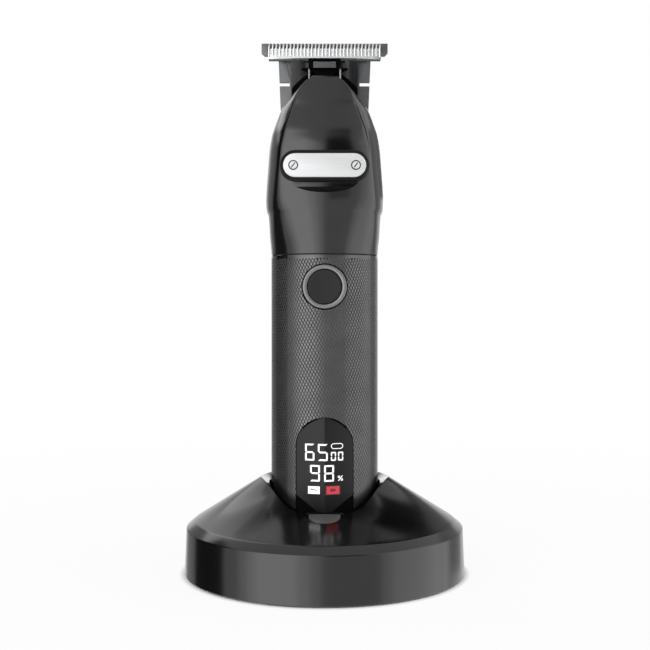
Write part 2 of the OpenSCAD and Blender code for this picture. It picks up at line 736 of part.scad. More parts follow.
module motor_can() color("#9da1a6") translate([0, motor_y, 0]) difference() {
    translate([0, 0, can_z]) cylinder(r = motor_r, h = motor_len);
    translate([0, 0, can_z - eps]) cylinder(r = can_in, h = motor_len - 0.8 + eps);
    translate([0, 0, can_z]) cylinder(r = bush_r + slip, h = motor_len + eps);
    for (x = motor_screw_x) translate([x, 0, can_top - 2]) cylinder(r = motor_screw_r + slip, h = 3);
}
can_in = motor_r - 0.8;
bush_r = 2.6;
magnet_in = can_in - 1.8;
core_r = magnet_in - apart;
magnet_low = 2.6;
magnet_high = 2.8;
core_low = 4.6;
core_high = 4.4;

module motor_magnets() color("#4a4c50") translate([0, motor_y, can_z + magnet_low])
    for (a = [-55, 125]) rotate([0, 0, a]) rotate_extrude(angle = 110, $fn = 96)
        translate([magnet_in, 0]) square([can_in - slip - magnet_in, motor_len - magnet_low - magnet_high]);

module motor_end_cap() color("#e6e2d6") translate([0, motor_y, 0]) difference() {
    union() {
        translate([0, 0, motor_z]) cylinder(r = motor_r, h = can_z - motor_z - 0.02);
        translate([0, 0, motor_z]) cylinder(r = can_in - slip, h = can_z - motor_z + cap_lip);
    }
    translate([0, 0, motor_z + cap_lip]) cylinder(r = can_in - 1.6, h = can_z - motor_z + eps);
    translate([0, 0, motor_z - eps]) cylinder(r = bush_r + slip, h = can_z - motor_z + cap_lip + 2 * eps);
}
cap_lip = 1.2;

module motor_bushes() color("#b0793a") translate([0, motor_y, 0])
    for (z = [motor_z, can_top - 0.8]) translate([0, 0, z])
        tube(bush_r, shaft_r + slip, z == motor_z ? 1.6 : 2.2);

module motor_mount() color("#8f9398") difference() {
    translate([0, 0, mount_z]) linear_extrude(mount_t)
        polygon(head_ring(station_at(mount_z + mount_t), head_wall + 0.3, face_wall + 0.3));
    translate([0, motor_y, mount_z - eps]) cylinder(r = bush_r + 0.4, h = mount_t + 2 * eps);
    for (x = motor_screw_x) translate([x, motor_y, mount_z - eps])
        cylinder(r = motor_screw_r + fit, h = mount_t + 2 * eps);
}

module motor_screws() color("#b9bcc0") for (x = motor_screw_x) translate([x, motor_y, 0]) {
    translate([0, 0, can_top - 2.2])
        cylinder(r = motor_screw_r, h = bracket_z + bracket_foot_t - can_top + 2.7);
    translate([0, 0, bracket_z + bracket_foot_t]) cylinder(r = 1.4, h = 0.9);
}
motor_screw_x = [-6.4, 6.4];
motor_screw_r = 0.75;

module motor_shaft() color("#d5d8db") translate([0, motor_y, motor_z + 0.2])
    cylinder(r = shaft_r, h = cam_z + cam_t - 1 - motor_z);

module motor_armature() color("#a8642f") translate([0, motor_y, can_z + core_low]) difference() {
    cylinder(r = core_r, h = motor_len - core_low - core_high);
    translate([0, 0, -eps]) cylinder(r = shaft_r + 0.01, h = motor_len);
    for (a = [0:72:288]) rotate([0, 0, a]) translate([core_r * 0.42, -0.5, -eps])
        cube([core_r, 1.0, motor_len]);
}

module motor_commutator() color("#c07a3e") translate([0, motor_y, can_z + 1.6])
    tube(commutator_r, shaft_r + 0.01, 2.8);

// Carbon brushes on leaf springs, held in the end cap
module motor_brushes() color("#6b5a48") translate([0, motor_y, can_z + 2]) for (side = [0, 180])
    rotate([0, 0, side]) {
        translate([commutator_r + fit, -0.8, 0]) cube([1.2, 1.6, 2]);
        translate([leaf_x, -0.8, -1.2]) cube([0.3, 1.6, 1.8]);
        translate([leaf_x, -0.8, -1.2]) cube([can_in - 1.65 - leaf_x, 1.6, 0.3]);
    }
commutator_r = 2.6;
leaf_x = commutator_r + fit + 1;

module eccentric_cam() color("#e8e6df") difference() {
    union() {
        translate([0, motor_y, cam_z]) cylinder(r = throw + crank_r + 1.4, h = cam_t);
        translate([0, motor_y - throw, cam_z]) cylinder(r = crank_r, h = crank_top - cam_z);
    }
    translate([0, motor_y, cam_z - eps]) cylinder(r = shaft_r + 0.01, h = cam_t);
}

bracket_r = 10.4;
window_half = throw + crank_r + 2.2;
module blade_bracket() color("#141414") difference() {
    union() {
        translate([0, motor_y, bracket_z]) cylinder(r = bracket_r, h = bracket_foot_t);
        slab_y(bracket_front, bracket_t) bracket_outline();
        for (side = [-1, 1]) translate([side * 7.7 - 0.6, spring_y - 1.4, spring_z - 1.6])
            cube([1.2, bracket_front - spring_y + 1.6, 3.2]);
    }
    translate([0, motor_y, bracket_z - eps]) cylinder(r = window_half + 0.4, h = 4);
    for (x = motor_screw_x) translate([x, motor_y, bracket_z - eps])
        cylinder(r = motor_screw_r + fit, h = 4);
    translate([-window_half - 0.4, bracket_front - 1, bracket_z - 1])
        cube([2 * window_half + 0.8, 2 * bracket_r, cam_z + cam_t + 1.5 - bracket_z]);
    for (x = [-blade_screw_x, blade_screw_x])
        rod_y(blade_screw_r + slip, bracket_front - eps, bracket_t + 2 * eps, x, blade_screw_z);
    for (side = [-1, 1]) translate([side * 7.7, spring_y, spring_z]) rotate([0, 90, 0])
        cylinder(r = 0.95, h = 4, center = true);
}
// Flat plate with rounded upper corners and a notch for the carrier
module bracket_outline() {
    half = bracket_w / 2;
    corner = 3;
    difference() {
        union() {
            translate([-half, bracket_z]) square([bracket_w, bracket_top - corner - bracket_z]);
            translate([-half + corner, bracket_z])
                square([bracket_w - 2 * corner, bracket_top - bracket_z]);
            for (side = [-1, 1]) translate([side * (half - corner), bracket_top - corner])
                circle(r = corner);
        }
        translate([-band_half - throw - apart, notch_z]) square([2 * (band_half + throw + apart), 6]);
    }
}

module spring_pins() color("#b9bcc0") for (side = [-1, 1])
    translate([side > 0 ? leg_x - 0.1 : -8.2, spring_y, spring_z]) rotate([0, 90, 0])
        cylinder(r = 0.9, h = 8.2 - leg_x + 0.1);

// Two coils on their pins, each with a leg up the front of the carrier
module blade_spring() color("#d0d3d6") for (side = [-1, 1]) {
    translate([side > 0 ? leg_x - 0.3 : -6.95, spring_y, spring_z]) rotate([0, 90, 0])
        tube(coil_r, coil_r - 0.6, 7.25 - leg_x);
    translate([side * leg_x, leg_y, spring_z]) cylinder(r = 0.3, h = band_z + 2.9 - spring_z);
}
leg_y = spring_y - coil_r + 0.3;

// Reciprocating carrier: slotted foot round the crank, stalk, and band behind the cutter
module blade_carrier() color("#3b3d40") difference() {
    union() {
        translate([-carrier_half, foot_y, carrier_z])
            cube([2 * carrier_half, carrier_back - foot_y, crank_top + 1.5 - carrier_z]);
        translate([-carrier_half, carrier_front, carrier_z])
            cube([2 * carrier_half, carrier_back - carrier_front, cutter_z - fit - carrier_z]);
        translate([-band_half, carrier_front, band_z])
            cube([2 * band_half, carrier_back - carrier_front, cutter_z - fit - band_z]);
        translate([-band_half, carrier_front, notch_z + apart])
            cube([2 * band_half, cutter_y - slip - carrier_front, cutter_z - fit - notch_z - apart]);
    }
    translate([-crank_r - crank_play, motor_y - throw - crank_r - 0.3, carrier_z - eps])
        cube([2 * (crank_r + crank_play), throw + 2 * crank_r + 0.6, crank_top + 0.5 + eps - carrier_z]);
    for (x = rivet_x) rod_y(0.62, carrier_front - 1, 10, x, rivet_z);
}
foot_y = motor_y - throw - crank_r - 1.7;
crank_play = 0.3;
rivet_x = [-3, 3];
rivet_z = cutter_z - 1.1;

module carrier_rivets() color("#b9bcc0") for (x = rivet_x)
    rod_y(0.6, carrier_front - 0.2, cutter_y + cutter_t - 0.1 - carrier_front, x, rivet_z);

tooth_w = tooth_pitch * 0.52;
// A row of gaps, cut down from the blade's tips
module tooth_gaps(count, top, depth) {
    gap = tooth_pitch - tooth_w;
    for (i = [0:count - 1]) translate([(i - (count - 1) / 2) * tooth_pitch - gap / 2, top - depth])
        square([gap, depth + 1]);
}
gap_count = floor(cutter_w / tooth_pitch);

module moving_blade() color("#e3e5e7") difference() {
    slab_y(cutter_y, cutter_t) difference() {
        union() {
            translate([-cutter_w / 2, cutter_z]) square([cutter_w, cutter_h]);
            translate([-band_half + 0.6, cutter_z - 2]) square([2 * band_half - 1.2, 2.5]);
        }
        tooth_gaps(gap_count, cutter_z + cutter_h, tooth_gap);
    }
    for (x = rivet_x) rod_y(0.62, cutter_y - 1, 10, x, rivet_z);
    translate([-cutter_w, cutter_y, cutter_z + cutter_h]) rotate([-38, 0, 0])
        translate([0, -bevel, -bevel_drop]) cube([2 * cutter_w, bevel, bevel]);
}

module fixed_blade() color("#c9ccd0") difference() {
    slab_y(stem_y, fixed_t) difference() {
        fixed_outline();
        tooth_gaps(gap_count - 1, tip_z, tooth_gap + 0.6);
        for (side = [-1, 1]) translate([side * (stem_w / 2 + 0.6), slot_z])
            square([2 * 4.4, slot_h], center = true);
    }
    for (x = [-blade_screw_x, blade_screw_x])
        rod_y(blade_screw_r + 0.25, stem_y - eps, fixed_t + 2 * eps, x, blade_screw_z);
    translate([-fixed_w, stem_y + fixed_t, tip_z]) rotate([30, 0, 0]) translate([0, 0, -bevel / 2])
        cube([2 * fixed_w, bevel, 2 * bevel]);
}
guard_h = 4.2;
slot_z = tip_z - 13.8;
slot_h = 1.25;
bevel = 4;
bevel_drop = 1.2;
module fixed_outline() {
    half = fixed_w / 2;
    stem = stem_w / 2;
    polygon([[-half, tip_z], [-half, tip_z - guard_h + 1], [-half + 1, tip_z - guard_h],
        [-stem, tip_z - guard_h], [-stem + 1, stem_low + 3], [-stem + 4, stem_low],
        [stem - 4, stem_low], [stem - 1, stem_low + 3], [stem, tip_z - guard_h],
        [half - 1, tip_z - guard_h], [half, tip_z - guard_h + 1], [half, tip_z]]);
}

module blade_screws() color("#b9bcc0") for (x = [-blade_screw_x, blade_screw_x]) {
    rod_y(2.2, stem_y + fixed_t, 1.1, x, blade_screw_z);
    rod_y(blade_screw_r, bracket_front + 0.1, stem_y + fixed_t - bracket_front, x, blade_screw_z);
}

dock_shell();
dock_base_plate();
dock_feet();
dock_screws();
dock_ballast();
dock_circuit_board();
power_inlet();
status_light();
status_light_board();
well_cup();
contact_barrels();
contact_pin_left();
contact_pin_right();
grip_sleeve();
bottom_cap();
cap_screws();
charge_pads();
chassis();
battery_cell();
battery_tabs();
main_board();
board_chips();
button_switch();
button_ring();
power_button();
display_lens();
display_module();
seam_ring();
head_collar();
head_front_shell();
head_rear_shell();
plate_bezel();
name_plate();
plate_screws();
motor_can();
motor_magnets();
motor_end_cap();
motor_bushes();
motor_mount();
motor_screws();
motor_brushes();
motor_shaft();
motor_armature();
motor_commutator();
eccentric_cam();
blade_bracket();
fixed_blade();
blade_screws();
blade_spring();
spring_pins();
blade_carrier();
moving_blade();
carrier_rivets();
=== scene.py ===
import json
import math

import bmesh
import bpy
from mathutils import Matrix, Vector


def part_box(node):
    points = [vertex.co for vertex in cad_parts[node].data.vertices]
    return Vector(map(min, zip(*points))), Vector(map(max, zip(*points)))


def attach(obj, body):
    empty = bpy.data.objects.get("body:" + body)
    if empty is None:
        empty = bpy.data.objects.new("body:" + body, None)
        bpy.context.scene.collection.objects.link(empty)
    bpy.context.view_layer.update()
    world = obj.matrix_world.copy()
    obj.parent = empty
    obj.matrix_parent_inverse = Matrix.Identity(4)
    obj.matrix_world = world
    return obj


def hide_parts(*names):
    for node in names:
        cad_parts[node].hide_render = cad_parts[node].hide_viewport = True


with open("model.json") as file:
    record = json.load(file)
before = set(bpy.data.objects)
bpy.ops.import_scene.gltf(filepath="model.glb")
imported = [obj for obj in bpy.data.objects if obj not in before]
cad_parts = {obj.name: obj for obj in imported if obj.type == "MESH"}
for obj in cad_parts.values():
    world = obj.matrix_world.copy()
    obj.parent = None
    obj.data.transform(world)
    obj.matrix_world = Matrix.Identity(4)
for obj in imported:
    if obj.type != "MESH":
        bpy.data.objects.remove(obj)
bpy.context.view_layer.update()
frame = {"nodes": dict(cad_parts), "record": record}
nodes = frame["nodes"]
mm = 0.001


# working with nodes

class Wire:
    # one socket that takes ordinary arithmetic
    def __init__(self, maker, socket):
        self.maker = maker
        self.socket = socket

    def out(self, key):
        return Wire(self.maker, self.socket.node.outputs[key])

    def math(self, operation, *values):
        return self.maker.add("ShaderNodeMath", {"operation": operation}, dict(enumerate(values)))

    def __add__(self, other):
        return self.math("ADD", self, other)

    __radd__ = __add__

    def __sub__(self, other):
        return self.math("SUBTRACT", self, other)

    def __rsub__(self, other):
        return self.math("SUBTRACT", other, self)

    def __mul__(self, other):
        return self.math("MULTIPLY", self, other)

    __rmul__ = __mul__

    def __truediv__(self, other):
        return self.math("DIVIDE", self, other)

    def __lt__(self, other):
        return self.math("LESS_THAN", self, other)

    def __gt__(self, other):
        return self.math("GREATER_THAN", self, other)


class Nodes:
    # adds nodes to one tree, settings first and then the values or wires of its sockets
    def __init__(self, tree):
        self.tree = tree

    def add(self, kind, settings=None, sockets=None, out=0):
        node = self.tree.nodes.new(kind)
        for key, value in (settings or {}).items():
            if key == "stops":
                ramp = node.color_ramp
                while len(ramp.elements) < len(value):
                    ramp.elements.new(1)
                for element, (place, shade) in zip(ramp.elements, value):
                    element.position = place
                    element.color = (*shade, 1) if hasattr(shade, "__len__") else (shade, shade, shade, 1)
            else:
                setattr(node, key, value)
        for key, value in (sockets or {}).items():
            for part in value if isinstance(value, list) else [value]:
                if isinstance(part, Wire):
                    self.tree.links.new(part.socket, node.inputs[key])
                else:
                    node.inputs[key].default_value = part
        return Wire(self, node.outputs[out]) if len(node.outputs) else None

    def vector(self, **parts):
        return self.add("ShaderNodeCombineXYZ", {}, parts)

    def moved(self, shape, **how):
        return self.add("GeometryNodeTransform", {}, {"Geometry": shape, **how})

    def spread(self, points, shape, turn=(0, 0, 0)):
        # one copy of a shape on every point
        return self.add("GeometryNodeInstanceOnPoints", {},
            {"Points": points, "Instance": shape, "Rotation": turn})


class Finish(Nodes):
    # a material with its pattern on Object coordinates, in metres
    def __init__(self, name):
        self.material = bpy.data.materials.new(name)
        self.material.use_nodes = True
        super().__init__(self.material.node_tree)
        self.tree.nodes.clear()
        self.place = self.add("ShaderNodeTexCoord", out="Object")

    def noise(self, scale, detail=2.0, stretch=(1, 1, 1)):
        spread = tuple(scale * s for s in stretch)
        spot = self.add("ShaderNodeMapping", {}, {"Vector": self.place, "Scale": spread})
        return self.add("ShaderNodeTexNoise", {}, {"Vector": spot, "Scale": 1.0, "Detail": detail})

    def axes(self):
        apart = self.add("ShaderNodeSeparateXYZ", {}, {"Vector": self.place})
        return apart, apart.out("Y"), apart.out("Z")

    def ramp(self, factor, stops):
        return self.add("ShaderNodeValToRGB", {"stops": stops}, {"Fac": factor})

    def between(self, value, low, high, least, most, settings=None):
        return self.add("ShaderNodeMapRange", settings, {0: value, 1: low, 2: high, 3: least, 4: most})

    def blend(self, factor, first, second):
        colours = {0: factor, 6: asColour(first), 7: asColour(second)}
        return self.add("ShaderNodeMix", {"data_type": "RGBA"}, colours, 2)

    def bump(self, height, depth, under=None):
        sockets = {"Height": height, "Distance": depth, "Strength": 1.0}
        if under:
            sockets["Normal"] = under
        return self.add("ShaderNodeBump", {}, sockets)

    def close(self, colour, roughness, metallic=0.0, normal=None, **own):
        sockets = {"Base Color": asColour(colour), "Roughness": roughness, "Metallic": metallic}
        sockets.update({key.replace("_", " "): value for key, value in own.items()})
        if normal:
            sockets["Normal"] = normal
        shader = self.add("ShaderNodeBsdfPrincipled", {}, sockets)
        self.add("ShaderNodeOutputMaterial", {}, {"Surface": shader})
        return self.material


def root(wire):
    return wire.math("SQRT", wire)


def sine(wire):
    return wire.math("SINE", wire)


def asColour(value):
    if isinstance(value, Wire):
        return value
    return (*value, 1) if hasattr(value, "__len__") else (value, value, value, 1)


def shade(value, share):
    # a colour made lighter or darker by a share
    parts = value if hasattr(value, "__len__") else (value, value, value)
    return tuple(min(1, p * share) for p in parts)


# finishes

def mouldedPlastic(name, colour, roughness, specular=0.5, grain=0.000002):
    # injection moulded: slow drift of tone, faint handling marks and a fine spark-eroded grain
    f = Finish(name)
    tone = f.blend(f.noise(55, 3), shade(colour, 0.82), shade(colour, 1.18))
    marks = (f.noise(140, 4) - 0.5) * 0.1 + roughness
    fine = f.bump(f.noise(5200, 1), grain)
    return f.close(tone, marks, 0.0, fine, Specular_IOR_Level=specular)


def lacqueredBlack(name, colour, roughness):
    # smooth lacquer with a slight orange peel, a few dust specks and soft wiping marks
    f = Finish(name)
    specks = f.ramp(f.noise(2600, 1), [(0.0, 0.0), (0.74, 0.0), (0.8, 1.0)])
    tone = f.blend(f.noise(30, 2), shade(colour, 0.8), shade(colour, 1.2))
    tone = f.blend(specks, tone, shade(colour, 3))
    wiped = (f.noise(36, 5, (1, 1, 0.25)) - 0.5) * 0.08 + roughness
    peel = f.bump(f.noise(420, 2), 0.0000012)
    return f.close(tone, wiped, 0.0, peel, Specular_IOR_Level=0.5)


# the well's rim as the grip's finish sees it, in millimetres: level at the back, notched at the front; the
# grip's finish paints a shadow below it and a little above it
wellShadow = {"rimLevel": 11, "climb": 0.0655, "dip": 7.5, "lowest": 22.3, "from": 2.8, "to": 6.2, "least": 0.15}


def knurledMetal(name, valley, peak, low, high):
    # anodised aluminium: dark in the valleys, a little brighter where hands wear the peaks, with a painted
    # shadow where the dock's well holds the grip
    f = Finish(name)
    x, y, z = f.axes()
    rise = f.between(root(x * x + y * y), low, high, 0.0, 1.0)
    worn = rise * (f.noise(120, 3) * 0.5 + 0.65)
    tone = f.blend(worn, valley, peak)
    # painted shadow: how far a point of the grip lies above the well's rim, which is notched at the front
    across = x.math("ABSOLUTE", x) * 1000 - wellShadow["rimLevel"]
    climb = (across + root(across * across + 2)) * wellShadow["climb"]
    rim = climb.math("MAXIMUM", climb, y > 0.0) * wellShadow["dip"] + wellShadow["lowest"]
    paintedShadow = f.between(z * 1000 - rim, wellShadow["from"], wellShadow["to"], wellShadow["least"], 1.0,
        {"interpolation_type": "SMOOTHSTEP"})
    tone = f.blend(paintedShadow, 0.0, tone)  # painted shadow, dark where the dock's well covers the grip and fading above its rim
    rough = 0.17 - worn * 0.03 + (f.noise(900, 2) - 0.5) * 0.04
    return f.close(tone, rough, 1.0, f.bump(f.noise(7000, 1), 0.0000006))


def burnished(name, colour, roughness, specular):
    # blackened steel with vertical rub marks
    f = Finish(name)
    rubs = f.noise(1.0, 4, (2600, 900, 120))
    tone = f.blend(rubs, shade(colour, 0.3), shade(colour, 2.2))
    rough = (rubs - 0.5) * 0.2 + roughness
    return f.close(tone, rough, 0.0, f.bump(rubs, 0.000002), Specular_IOR_Level=specular)


def brushedSteel(name, colour, roughness, stretch, depth=0.0000012, metallic=1.0):
    # fine lines left by grinding, with a slow drift of tone and a few wiped patches
    f = Finish(name)
    lines = f.noise(1.0, 3, stretch)
    tone = f.blend(lines, shade(colour, 0.86), shade(colour, 1.08))
    rough = (f.noise(260, 3) - 0.5) * 0.12 + (lines - 0.5) * 0.15 + roughness
    return f.close(tone, rough, metallic, f.bump(lines, depth))


def turnedMetal(name, colour, roughness, centre, pitch=0.00016):
    # concentric tool marks round an axis along Y
    f = Finish(name)
    x, _, z = f.axes()
    across = x - centre[0]
    up = z - centre[1]
    grooves = sine(root(across * across + up * up) * (2 * math.pi / pitch))
    tone = f.blend(f.noise(300, 3), shade(colour, 0.9), shade(colour, 1.1))
    rough = (f.noise(700, 2) - 0.5) * 0.1 + roughness
    return f.close(tone, rough, 1.0, f.bump(grooves + f.noise(5000, 1), 0.0000008))


def platedMetal(name, colour, roughness, metallic=1.0):
    # plated or cast metal with faint pitting and tarnish
    f = Finish(name)
    tarnish = f.ramp(f.noise(420, 5), [(0.35, 0.0), (0.75, 1.0)])
    tone = f.blend(tarnish, colour, shade(colour, 0.72))
    rough = tarnish * 0.14 + roughness
    return f.close(tone, rough, metallic, f.bump(f.noise(3000, 3), 0.000003))


def mouldedRubber(name, colour):
    f = Finish(name)
    dust = f.ramp(f.noise(800, 5), [(0.5, 0.0), (0.8, 1.0)])
    tone = f.blend(dust, colour, shade(colour, 3.2))
    return f.close(tone, 0.82 - dust * 0.05, 0.0, f.bump(f.noise(2500, 4), 0.00001), Specular_IOR_Level=0.3)


def circuitBoard(name, colour):
    # solder mask over copper tracks, with plated holes
    f = Finish(name)
    wavy = f.add("ShaderNodeTexWave", {"bands_direction": "X"}, {"Vector": f.place, "Scale": 260.0,
        "Distortion": 6.0, "Detail": 1.0, "Detail Scale": 0.6}, 1)
    tracks = f.ramp(wavy, [(0.42, 0.0), (0.5, 1.0)])
    holes = f.add("ShaderNodeTexVoronoi", {}, {"Vector": f.place, "Scale": 420.0}, "Distance")
    plated = holes < 0.16
    tone = f.blend(tracks, shade(colour, 0.7), shade(colour, 1.35))
    tone = f.blend(plated, tone, (0.6, 0.52, 0.3))
    return f.close(tone, 0.34 + f.noise(900, 2) * 0.1, plated * 0.9, f.bump(tracks, 0.00002))


def shrinkWrap(name, colour):
    # tight plain film round a cell, with fine creases along it
    f = Finish(name)
    creases = f.noise(1.0, 3, (500, 500, 90))
    tone = f.blend(f.noise(60, 2), shade(colour, 0.85), shade(colour, 1.15))
    return f.close(tone, 0.26 + creases * 0.1, 0.0, f.bump(creases, 0.00002))


def woundCopper(name, colour, pitch=0.00022):
    # enamelled wire laid in turns along the shaft, darker between the turns as painted shade
    f = Finish(name)
    z = f.axes()[2]
    turns = sine(z * (2 * math.pi / pitch))
    tone = f.blend(turns * 0.5 + 0.5, shade(colour, 0.45), shade(colour, 1.15))
    return f.close(tone, 0.34 + f.noise(1500, 2) * 0.1, 0.9, f.bump(turns, 0.00004))


def polishedLens(name, colour):
    # tinted window with a satin coat, almost black, with faint cleaning marks
    f = Finish(name)
    marks = f.noise(1.0, 4, (160, 160, 40))
    tone = f.blend(f.noise(80, 2), shade(colour, 0.8), shade(colour, 1.2))
    return f.close(tone, 0.3 + (marks - 0.5) * 0.08, 0.0, f.bump(f.noise(300, 1), 0.0000004),
        Specular_IOR_Level=0.16)


def glowing(name, colour, strength):
    # lit segments of a display, with the grain of its diffuser
    f = Finish(name)
    lit = f.blend(f.noise(2400, 2), shade(colour, 0.88), colour)
    return f.close(shade(colour, 0.35), 0.3 + f.noise(500, 2) * 0.1, 0.0, None,
        Emission_Color=lit, Emission_Strength=strength)


buttonAxis = (0.0, (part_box("power_button")[0].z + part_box("power_button")[1].z) / 2)
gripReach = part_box("grip_sleeve")[1].x
knurlDepth = 0.00012
finishes = {
    "dock_black": lacqueredBlack("dockLacquer", 0.003, 0.18),
    "base_black": mouldedPlastic("basePlastic", 0.022, 0.5, grain=0.000006),
    "foot_rubber": mouldedRubber("footRubber", 0.016),
    "screw_steel": platedMetal("screwZinc", (0.62, 0.63, 0.64), 0.24),
    "ballast_iron": platedMetal("ballastIron", (0.26, 0.25, 0.24), 0.5),
    "board_green": circuitBoard("circuitBoard", (0.012, 0.11, 0.045)),
    "inlet_steel": platedMetal("inletNickel", (0.66, 0.65, 0.62), 0.22),
    "light_lens": mouldedPlastic("lightDiffuser", 0.085, 0.34, grain=0.000001),
    "contact_brass": platedMetal("contactGilt", (0.86, 0.6, 0.24), 0.2),
    "grip_metal": knurledMetal("gripAnodised", 0.005, 0.096, gripReach - knurlDepth, gripReach),
    "inner_plastic": mouldedPlastic("innerPlastic", (0.05, 0.052, 0.056), 0.5, grain=0.000004),
    "battery_blue": shrinkWrap("cellWrap", (0.03, 0.16, 0.5)),
    "chip_black": mouldedPlastic("chipEpoxy", 0.028, 0.55, grain=0.000006),
    "ring_grey": turnedMetal("ringTurned", 0.17, 0.42, buttonAxis),
    "button_black": mouldedPlastic("buttonSatin", 0.016, 0.5, 0.18, 0.000002),
    "lens_black": polishedLens("displayWindow", 0.012),
    "display_panel": glowing("displayWhite", (1.0, 1.0, 1.0), 1.0),
    "head_black": mouldedPlastic("headSatin", 0.004, 0.18, 0.54, 0.0000006),
    "bezel_black": mouldedPlastic("bezelGloss", 0.012, 0.2, 0.5, 0.0000006),
    "plate_silver": brushedSteel("plateSilver", (0.64, 0.645, 0.65), 0.5, (60, 400, 5200), metallic=0.4),
    "motor_steel": brushedSteel("motorSteel", (0.5, 0.51, 0.52), 0.34, (900, 900, 60)),
    "magnet_grey": platedMetal("ferriteMagnet", (0.05, 0.05, 0.055), 0.5, 0.3),
    "cam_white": mouldedPlastic("acetalWhite", (0.78, 0.77, 0.73), 0.42, grain=0.000002),
    "bush_bronze": platedMetal("sinteredBronze", (0.5, 0.29, 0.12), 0.36),
    "winding_copper": woundCopper("windingCopper", (0.62, 0.25, 0.09)),
    "bracket_black": burnished("bracketBlack", 0.008, 0.34, 0.3),
    "blade_steel": brushedSteel("bladeGround", (0.115, 0.117, 0.12), 0.5, (60, 900, 4200)),
    "cutter_steel": brushedSteel("cutterPolished", (0.6, 0.605, 0.61), 0.34, (3600, 700, 160), 0.0000016),
}
displayRed = glowing("displayRed", (0.48, 0.034, 0.048), 1.0)
displayDark = mouldedPlastic("displayMask", 0.004, 0.3, 0.3)
displayDeep = glowing("displayDeep", (0.17, 0.003, 0.01), 1.0)
displayHalo = glowing("displayHalo", (0.1, 0.014, 0.02), 1.0)
# near black with almost no reflection, used as painted shade in gaps, grooves and recesses and on parts in
# shadow
gapBlack = mouldedPlastic("gapBlack", 0.0015, 0.6, 0.02)
springWire = platedMetal("springWire", (0.3, 0.305, 0.31), 0.3)
bezelDark = mouldedPlastic("bezelDark", 0.003, 0.3, 0.24)
edgeGrey = mouldedPlastic("edgeGrey", 0.07, 0.5, 0.3)
print("finishes made:", len(finishes))


# working with meshes, in millimetres until a mesh is made

def nodeBox(name):
    low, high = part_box(name)
    return low / mm, high / mm


def newPiece(name, mesh):
    piece = bpy.data.objects.new(name, mesh)
    bpy.context.scene.collection.objects.link(piece)
    return piece


def smoothBelow(mesh, degrees):
    for face in mesh.polygons:
        face.use_smooth = True
    mesh.set_sharp_from_angle(angle=math.radians(degrees))


def tidy(mesh, degrees=30, merge=0.000001):
    work = bmesh.new()
    work.from_mesh(mesh)
    bmesh.ops.remove_doubles(work, verts=work.verts, dist=merge)
    bmesh.ops.dissolve_degenerate(work, edges=work.edges, dist=merge)
    bmesh.ops.recalc_face_normals(work, faces=work.faces)
    work.to_mesh(mesh)
    work.free()
    smoothBelow(mesh, degrees)


def makePiece(name, points, faces, degrees=30):
    mesh = bpy.data.meshes.new(name)
    mesh.from_pydata([[c * mm for c in point] for point in points], [], faces)
    tidy(mesh, degrees)
    return newPiece(name, mesh)


def skin(rings, loop=False):
    # closed surface over rings of equal length; without loop its two ends are capped
    count = len(rings)
    size = len(rings[0])
    faces = []
    for i in range(count if loop else count - 1):
        here, there = i * size, ((i + 1) % count) * size
        for j in range(size):
            k = (j + 1) % size
            faces.append((here + j, there + j, there + k, here + k))
    if not loop:
        faces.append(tuple(range(size)))
        faces.append(tuple((count - 1) * size + j for j in reversed(range(size))))
    return [point for ring in rings for point in ring], faces


def revolve(name, profile, segments=96, axis="Z", centre=(0, 0, 0), degrees=30):
    # profile is a closed outline of radius and height; a radius of 0 closes at the axis
    rings = []
    for i in range(segments):
        angle = 2 * math.pi * i / segments
        c, s = math.cos(angle), math.sin(angle)
        if axis == "Z":
            rings.append([(centre[0] + r * c, centre[1] + r * s, centre[2] + h) for r, h in profile])
        else:
            rings.append([(centre[0] + r * c, centre[1] + h, centre[2] + r * s) for r, h in profile])
    return makePiece(name, *skin(rings, True), degrees)


def arc(cx, cy, radius, start, end, steps):
    turns = [math.radians(start + (end - start) * i / steps) for i in range(steps + 1)]
    return [(cx + radius * math.cos(a), cy + radius * math.sin(a)) for a in turns]


def bakeModifiers(piece):
    seen = piece.evaluated_get(bpy.context.evaluated_depsgraph_get())
    mesh = bpy.data.meshes.new_from_object(seen)
    piece.modifiers.clear()
    piece.data = mesh
    return piece


def cutAway(piece, *cutters, degrees=30):
    for cutter in cutters:
        cut = piece.modifiers.new("cut", "BOOLEAN")
        cut.operation = "DIFFERENCE"
        cut.solver = "EXACT"
        cut.object = cutter
        bakeModifiers(piece)
        bpy.data.objects.remove(cutter)
    smoothBelow(piece.data, degrees)
    return piece


def block(low, high):
    corners = [(low[0], low[1]), (high[0], low[1]), (high[0], high[1]), (low[0], high[1])]
    return makePiece("block", *skin([[(x, y, z) for x, y in corners] for z in (low[2], high[2])]))


def rounded(piece, width, steps, degrees=35):
    edge = piece.modifiers.new("edge", "BEVEL")
    edge.width = width * mm
    edge.segments = steps
    edge.limit_method = "ANGLE"
    edge.angle_limit = math.radians(degrees)
    edge.harden_normals = False
    bakeModifiers(piece)
    smoothBelow(piece.data, 40)
    return piece


def softened(node, name, width, steps=2, degrees=35):
    # a copy of a CAD piece with its flats joined and its edges rounded
    mesh = nodes[node].data.copy()
    work = bmesh.new()
    work.from_mesh(mesh)
    bmesh.ops.remove_doubles(work, verts=work.verts, dist=0.000002)
    bmesh.ops.dissolve_limit(work, angle_limit=math.radians(0.5), verts=work.verts, edges=work.edges)
    work.to_mesh(mesh)
    work.free()
    return rounded(newPiece(name, mesh), width, steps, degrees)


def dress(piece, slotName, body, *replaced, material=None):
    piece.data.materials.clear()
    piece.data.materials.append(material or finishes[slotName])
    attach(piece, body)
    if replaced:
        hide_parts(*replaced)
    return piece


